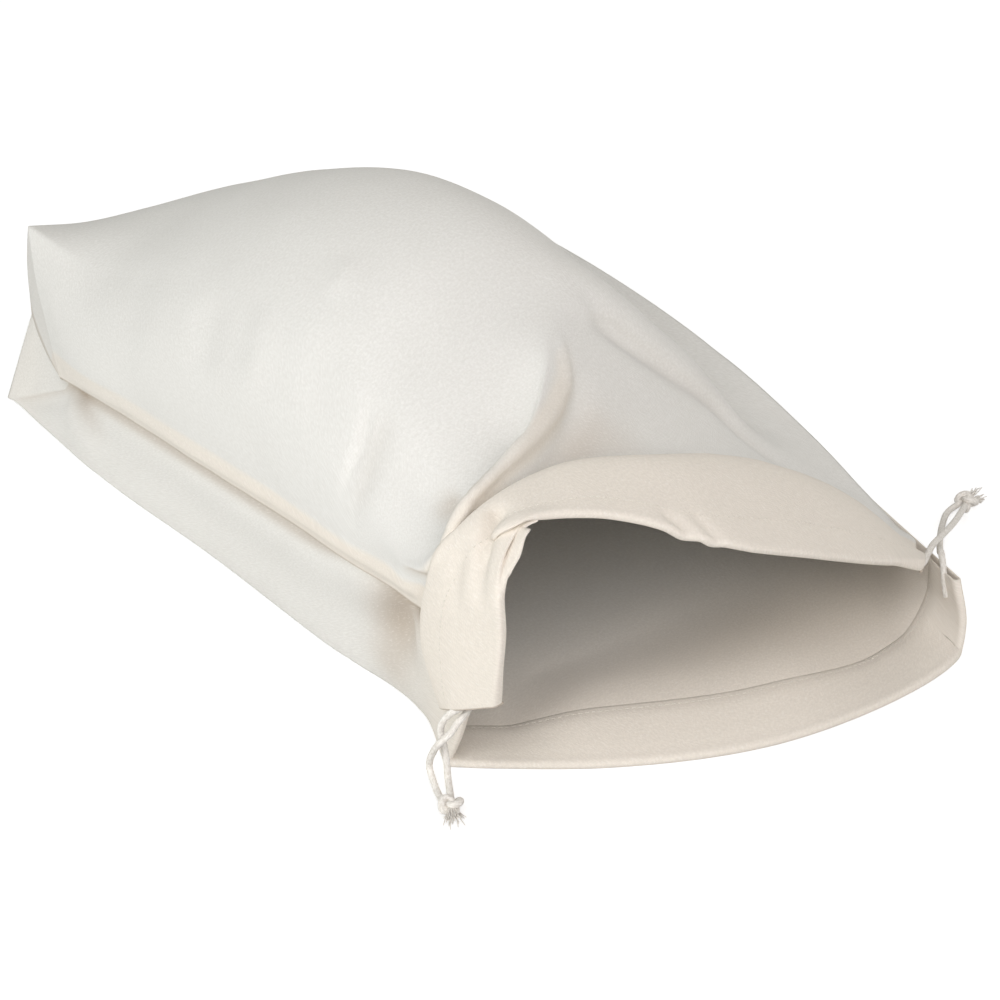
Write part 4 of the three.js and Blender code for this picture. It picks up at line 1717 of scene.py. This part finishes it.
@dataclass
class Knot:
    """Overhand knot that ties two strands together, with their frayed ends beyond it."""

    name: str
    at: Point
    ends: Point
    seed: int
    lobe: float = 1.5
    squash: float = 0.82
    height: float = 2.5
    steps: int = 220
    braid: Braid = Braid(radius=1.75)
    yarns: int = 46
    yarn_steps: int = 8
    yarn_sides: int = 4
    yarn_radius: float = 0.42
    yarn_taper: float = 0.45
    yarn_length: float = 9.0
    yarn_shortest: float = 0.62
    yarn_root: float = 1.9
    yarn_spread: float = 0.36
    yarn_squash: float = 0.72
    yarn_curl: float = 1.5
    yarn_tilt: float = 0.3

    def axes(self) -> tuple[Array, Array, Array]:
        """Directions along the frayed ends and two ways across them."""
        along = unit(np.array(self.ends, float))
        across = unit(np.cross((0.0, 0.0, 1.0), along))
        return along, across, np.cross(along, across)

    def loops(self) -> tuple[Array, Array, Array]:
        """Closed cord of the knot: three lobes, sin t + 2 sin 2t by cos t - 2 cos 2t, woven over and under.

        Returns:
            Surface points, quads and places in the cord's map.
        """
        along, across, up = self.axes()
        t = np.linspace(0, 2 * np.pi, self.steps)[:, None]
        wide = (np.sin(t) + 2 * np.sin(2 * t)) * self.lobe
        deep = (np.cos(t) - 2 * np.cos(2 * t)) * self.lobe * self.squash
        rise = -np.sin(3 * t) * self.height
        path = np.array(self.at) + across * wide + up * deep + along * rise
        surface, places = self.braid.tube(path, *path_frames(path, tuple(along)))
        quads = grid_faces(len(path), self.braid.sides, closed=True)
        return surface.reshape(-1, 3), quads, places.reshape(-1, 2)

    def frayed(self) -> tuple[Array, Array, Array]:
        """Yarn ends: tapered four-sided strands that leave the knot together, spread and curl.

        Returns:
            Surface points, quads and places in the cord's map.
        """
        along, across, up = self.axes()
        draw = np.random.default_rng(self.seed)
        steps, sides = self.yarn_steps, self.yarn_sides
        share = np.linspace(0, 1, steps)
        turn = draw.uniform(0, 2 * np.pi, self.yarns)
        out = np.sqrt(draw.uniform(0, 1, self.yarns))
        length = self.yarn_length * draw.uniform(self.yarn_shortest, 1.0, self.yarns)
        curl = draw.uniform(-1, 1, (self.yarns, 2)) * self.yarn_curl
        spread = self.yarn_root * out[:, None] + self.yarn_spread * length[:, None] * share * out[:, None]
        bend = curl[..., None] * share**2
        wide = np.cos(turn)[:, None] * spread + bend[:, 0]
        deep = np.sin(turn)[:, None] * spread * self.yarn_squash + bend[:, 1]
        reach = self.height + length[:, None] * share
        path = np.array(self.at) + wide[..., None] * across + deep[..., None] * up + reach[..., None] * along
        path[..., 2] = np.maximum(path[..., 2], self.yarn_radius)
        ring = rings(*path_frames(path, tuple(across + self.yarn_tilt * up)), sides)
        taper = self.yarn_radius * (1 - self.yarn_taper * share)
        surface = path[:, :, None] + ring * taper[:, None, None]
        cap = (steps - 1) * sides + np.arange(sides)[None, ::-1]
        one = np.concatenate((grid_faces(steps, sides, closed=True), cap))
        quads = repeated(one, self.yarns, steps * sides)
        round_and_along = (ring_angles(sides) * self.yarn_radius, share[:, None] * self.yarn_length)
        places = np.stack(np.broadcast_arrays(*round_and_along), axis=-1) * MM
        return surface.reshape(-1, 3), quads, np.tile(places.reshape(-1, 2), (self.yarns, 1))

    def dress(self, material: bpy.types.Material) -> bpy.types.Object:
        """Make the knot with its frayed ends as one piece.

        Args:
            material: the cord's finish.

        Returns:
            The knot.
        """
        loops, loop_quads, loop_places = self.loops()
        yarn, yarn_quads, yarn_places = self.frayed()
        vertices = np.concatenate((loops, yarn))
        vertices[:, 2] = np.maximum(vertices[:, 2], 0.0)
        faces = (loop_quads, yarn_quads + len(loops))
        made = new_object("cord_" + self.name, to_frame(vertices), faces, material)
        set_map(made, CORD_MAP, np.concatenate((loop_places, yarn_places)))
        settle(made, self.name)
        return made


@dataclass
class Drawcords:
    """The two drawcords: each shows as two strands from the casings' ends, tied in one knot."""

    knots: tuple[Knot, ...] = (
        Knot("left_knot", (447.9, -22.2, 5.6), (0.88, -0.45, -0.05), 11),
        Knot("right_knot", (380.5, 331.5, 5.6), (-0.22, 0.97, -0.05), 23),
    )
    strands: tuple[tuple[str, Strand], ...] = (
        ("left_knot", Strand("left_strand_front", (
            (436.6, -5.5, 68.2), (437.8, -5.2, 48.5), (435.4, -6.3, 43.6), (431.4, -10, 39.4),
            (428.2, -12.6, 34), (427, -13.2, 29), (428.4, -13, 24), (430, -12.5, 17), (432, -13, 8),
            (445, -20, 5.4),
        ), (437.8, -5.2, 48.5))),
        ("left_knot", Strand("left_strand_back", (
            (404, 8.5, 20), (407, 8.2, 28), (411, 7.6, 35), (418, 6, 39.5), (425.5, 3.6, 41.2),
            (431, 0.2, 40.6), (433.6, -4.2, 38.2), (433.5, -8.4, 34.8), (434.5, -13, 31.5),
            (433.2, -17, 28), (428, -17.8, 20), (424.5, -17.4, 10), (430.3, -18.8, 5.2), (445, -24, 5.4),
        ), (411, 7.6, 35))),
        ("right_knot", Strand("right_strand_front", (
            (456.1, 213.8, 50.5), (451.8, 235.9, 37.7), (442.5, 248.5, 34.6), (433.5, 259.5, 30.8),
            (425, 271.8, 26.6), (404.9, 300.3, 16), (382.5, 329, 5.6),
        ), (451.8, 235.9, 37.7))),
        ("right_knot", Strand("right_strand_back", (
            (457.2, 248.4, 18.3), (454, 249.3, 25), (451.1, 250.6, 31), (447, 253.2, 33.6),
            (441.5, 257.5, 32.2), (436, 262.5, 27.5), (425, 272.8, 20.5), (408.9, 288, 12),
            (393.3, 303.8, 7.5), (381.9, 318.8, 5.4), (379, 329.5, 5.4),
        ), (451.1, 250.6, 31))),
    )

    def dress(self, material: bpy.types.Material) -> list[bpy.types.Object]:
        """Make the knots, then the strands that end in them.

        Args:
            material: the cord's finish.

        Returns:
            The pieces.
        """
        knots = {knot.name: knot.dress(material) for knot in self.knots}
        return [*knots.values(), *(strand.dress(material, knots[knot]) for knot, strand in self.strands)]


def aimed(name: str, data: bpy.types.ID, at: Array, way: Array) -> bpy.types.Object:
    """Camera or light at a place, pointing a given way.

    Args:
        name: name of the object.
        data: the camera or light.
        at: place in metres.
        way: direction that it points.

    Returns:
        The object, linked to the scene.
    """
    made = bpy.data.objects.new(name, data)
    bpy.context.scene.collection.objects.link(made)
    made.location = Vector(at)
    made.rotation_euler = Vector(way).to_track_quat("-Z", "Y").to_euler()
    return made


@dataclass
class Studio:
    """White paper floor, soft light and the camera, at the photograph's angle."""

    target: Point = (296.1, 109.1, 40.0)
    azimuth: float = 55.1
    elevation: float = 30.0
    distance: float = 1500.0
    lens: float = 114.15
    sensor: float = 36.0
    clip: Pair = (0.05, 50.0)
    floor_size: float = 9.0
    floor_rows: int = 60
    floor_columns: int = 40
    floor_flat: float = 2.2
    floor_curve: float = 0.5
    lamp_size: float = 1.4
    world: Colour = (1.0, 1.0, 1.0, 1)
    world_strength: float = 0.05
    lamps: tuple[tuple[str, Point, float, Point], ...] = (
        ("left", (-1.8, 1.0, 0.6), 25.0, (0.98, 1.0, 0.98)),
        ("front", (0.05, 1.55, 1.4), 25.0, (1.0, 0.98, 1.0)),
        ("right", (1.5, 1.4, 1.1), 12.0, (1.0, 0.97, 0.94)),
        ("behind", (0.0, -1.6, 1.4), 12.0, (1.0, 1.0, 0.94)),
        ("far_side", (1.7, -0.6, 0.9), 6.0, (1.0, 0.97, 0.93)),
    )

    def level(self) -> tuple[Array, Array]:
        """Level unit vectors to the camera's right and away from it."""
        a = math.radians(self.azimuth)
        return np.array((math.cos(a), math.sin(a), 0)), np.array((-math.sin(a), math.cos(a), 0))

    def back(self) -> Array:
        """Unit vector from the target to the camera."""
        e = math.radians(self.elevation)
        return np.array((0, 0, math.sin(e))) - self.level()[1] * math.cos(e)

    def camera(self) -> None:
        """Make the camera and look through it."""
        data = bpy.data.cameras.new("camera")
        data.sensor_width, data.lens = self.sensor, self.lens
        data.clip_start, data.clip_end = self.clip
        place = to_frame(np.array(self.target) + self.back() * self.distance)
        bpy.context.scene.camera = aimed("camera", data, place, -self.back())

    def lamp(self, name: str, at: Point, power: float, colour: Point) -> None:
        """Make a square area light that points at the bag.

        Args:
            name: name of the light.
            at: place in metres from the target: to the camera's right, towards the camera, and up.
            power: watts.
            colour: colour of the light.
        """
        data = bpy.data.lights.new(name, "AREA")
        data.shape, data.size, data.energy, data.color = "SQUARE", self.lamp_size, power, colour
        right, away = self.level()
        target = to_frame(np.array(self.target))
        place = target + right * at[0] - away * at[1] + np.array((0, 0, at[2]))
        aimed(name, data, place, target - place)

    def floor(self, material: bpy.types.Material) -> None:
        """Make the floor: a wide sheet of paper, flat under the bag and curving up far behind it.

        Args:
            material: its finish.
        """
        right, away = self.level()
        rows, columns = self.floor_rows, self.floor_columns
        run = np.linspace(-0.5, 0.5, rows)[:, None, None] * self.floor_size
        wide = np.linspace(-0.5, 0.5, columns)[None, :, None] * self.floor_size
        rise = np.maximum(run - self.floor_flat, 0) ** 2 * self.floor_curve
        grid = away * run + right * wide + np.array((0, 0, 1)) * (rise + 0 * wide)
        faces = grid_faces(rows, columns)[:, ::-1]
        made = new_object("paper_floor", grid.reshape(-1, 3), (faces,), material)
        lit = bpy.data.collections.new("lit_by_paper")
        lit.objects.link(made)
        made.light_linking.receiver_collection = lit

    def build(self, material: bpy.types.Material) -> None:
        """Set up the camera, the floor, the lights and the surrounding glow.

        Args:
            material: the floor's finish.
        """
        self.camera()
        self.floor(material)
        for lamp in self.lamps:
            self.lamp(*lamp)
        scene = bpy.context.scene
        scene.view_settings.view_transform = "Standard"
        world = bpy.data.worlds.new("studio")
        world.use_nodes = True
        glow = world.node_tree.nodes["Background"]
        glow.inputs["Color"].default_value = self.world
        glow.inputs["Strength"].default_value = self.world_strength
        scene.world = world


def main() -> None:
    """Build the bag piece by piece and set it in the studio."""
    logging.basicConfig(level=logging.INFO, format="%(name)s: %(message)s")
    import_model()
    Studio().build(FloorFinish().material("studio_paper"))
    cord = CordFinish().material("cotton_cord")
    cloth = ClothFinish().material("cotton_cloth")
    pieces = Drawcords().dress(cord)
    thread = ThreadFinish().material("sewing_thread")
    pieces += BackPanel().dress(cloth, thread) + FrontPanel().dress(cloth, thread)
    for piece in pieces:
        LOG.info("%s: %d faces", piece.name, len(piece.data.polygons))


if __name__ == "__main__":
    main()
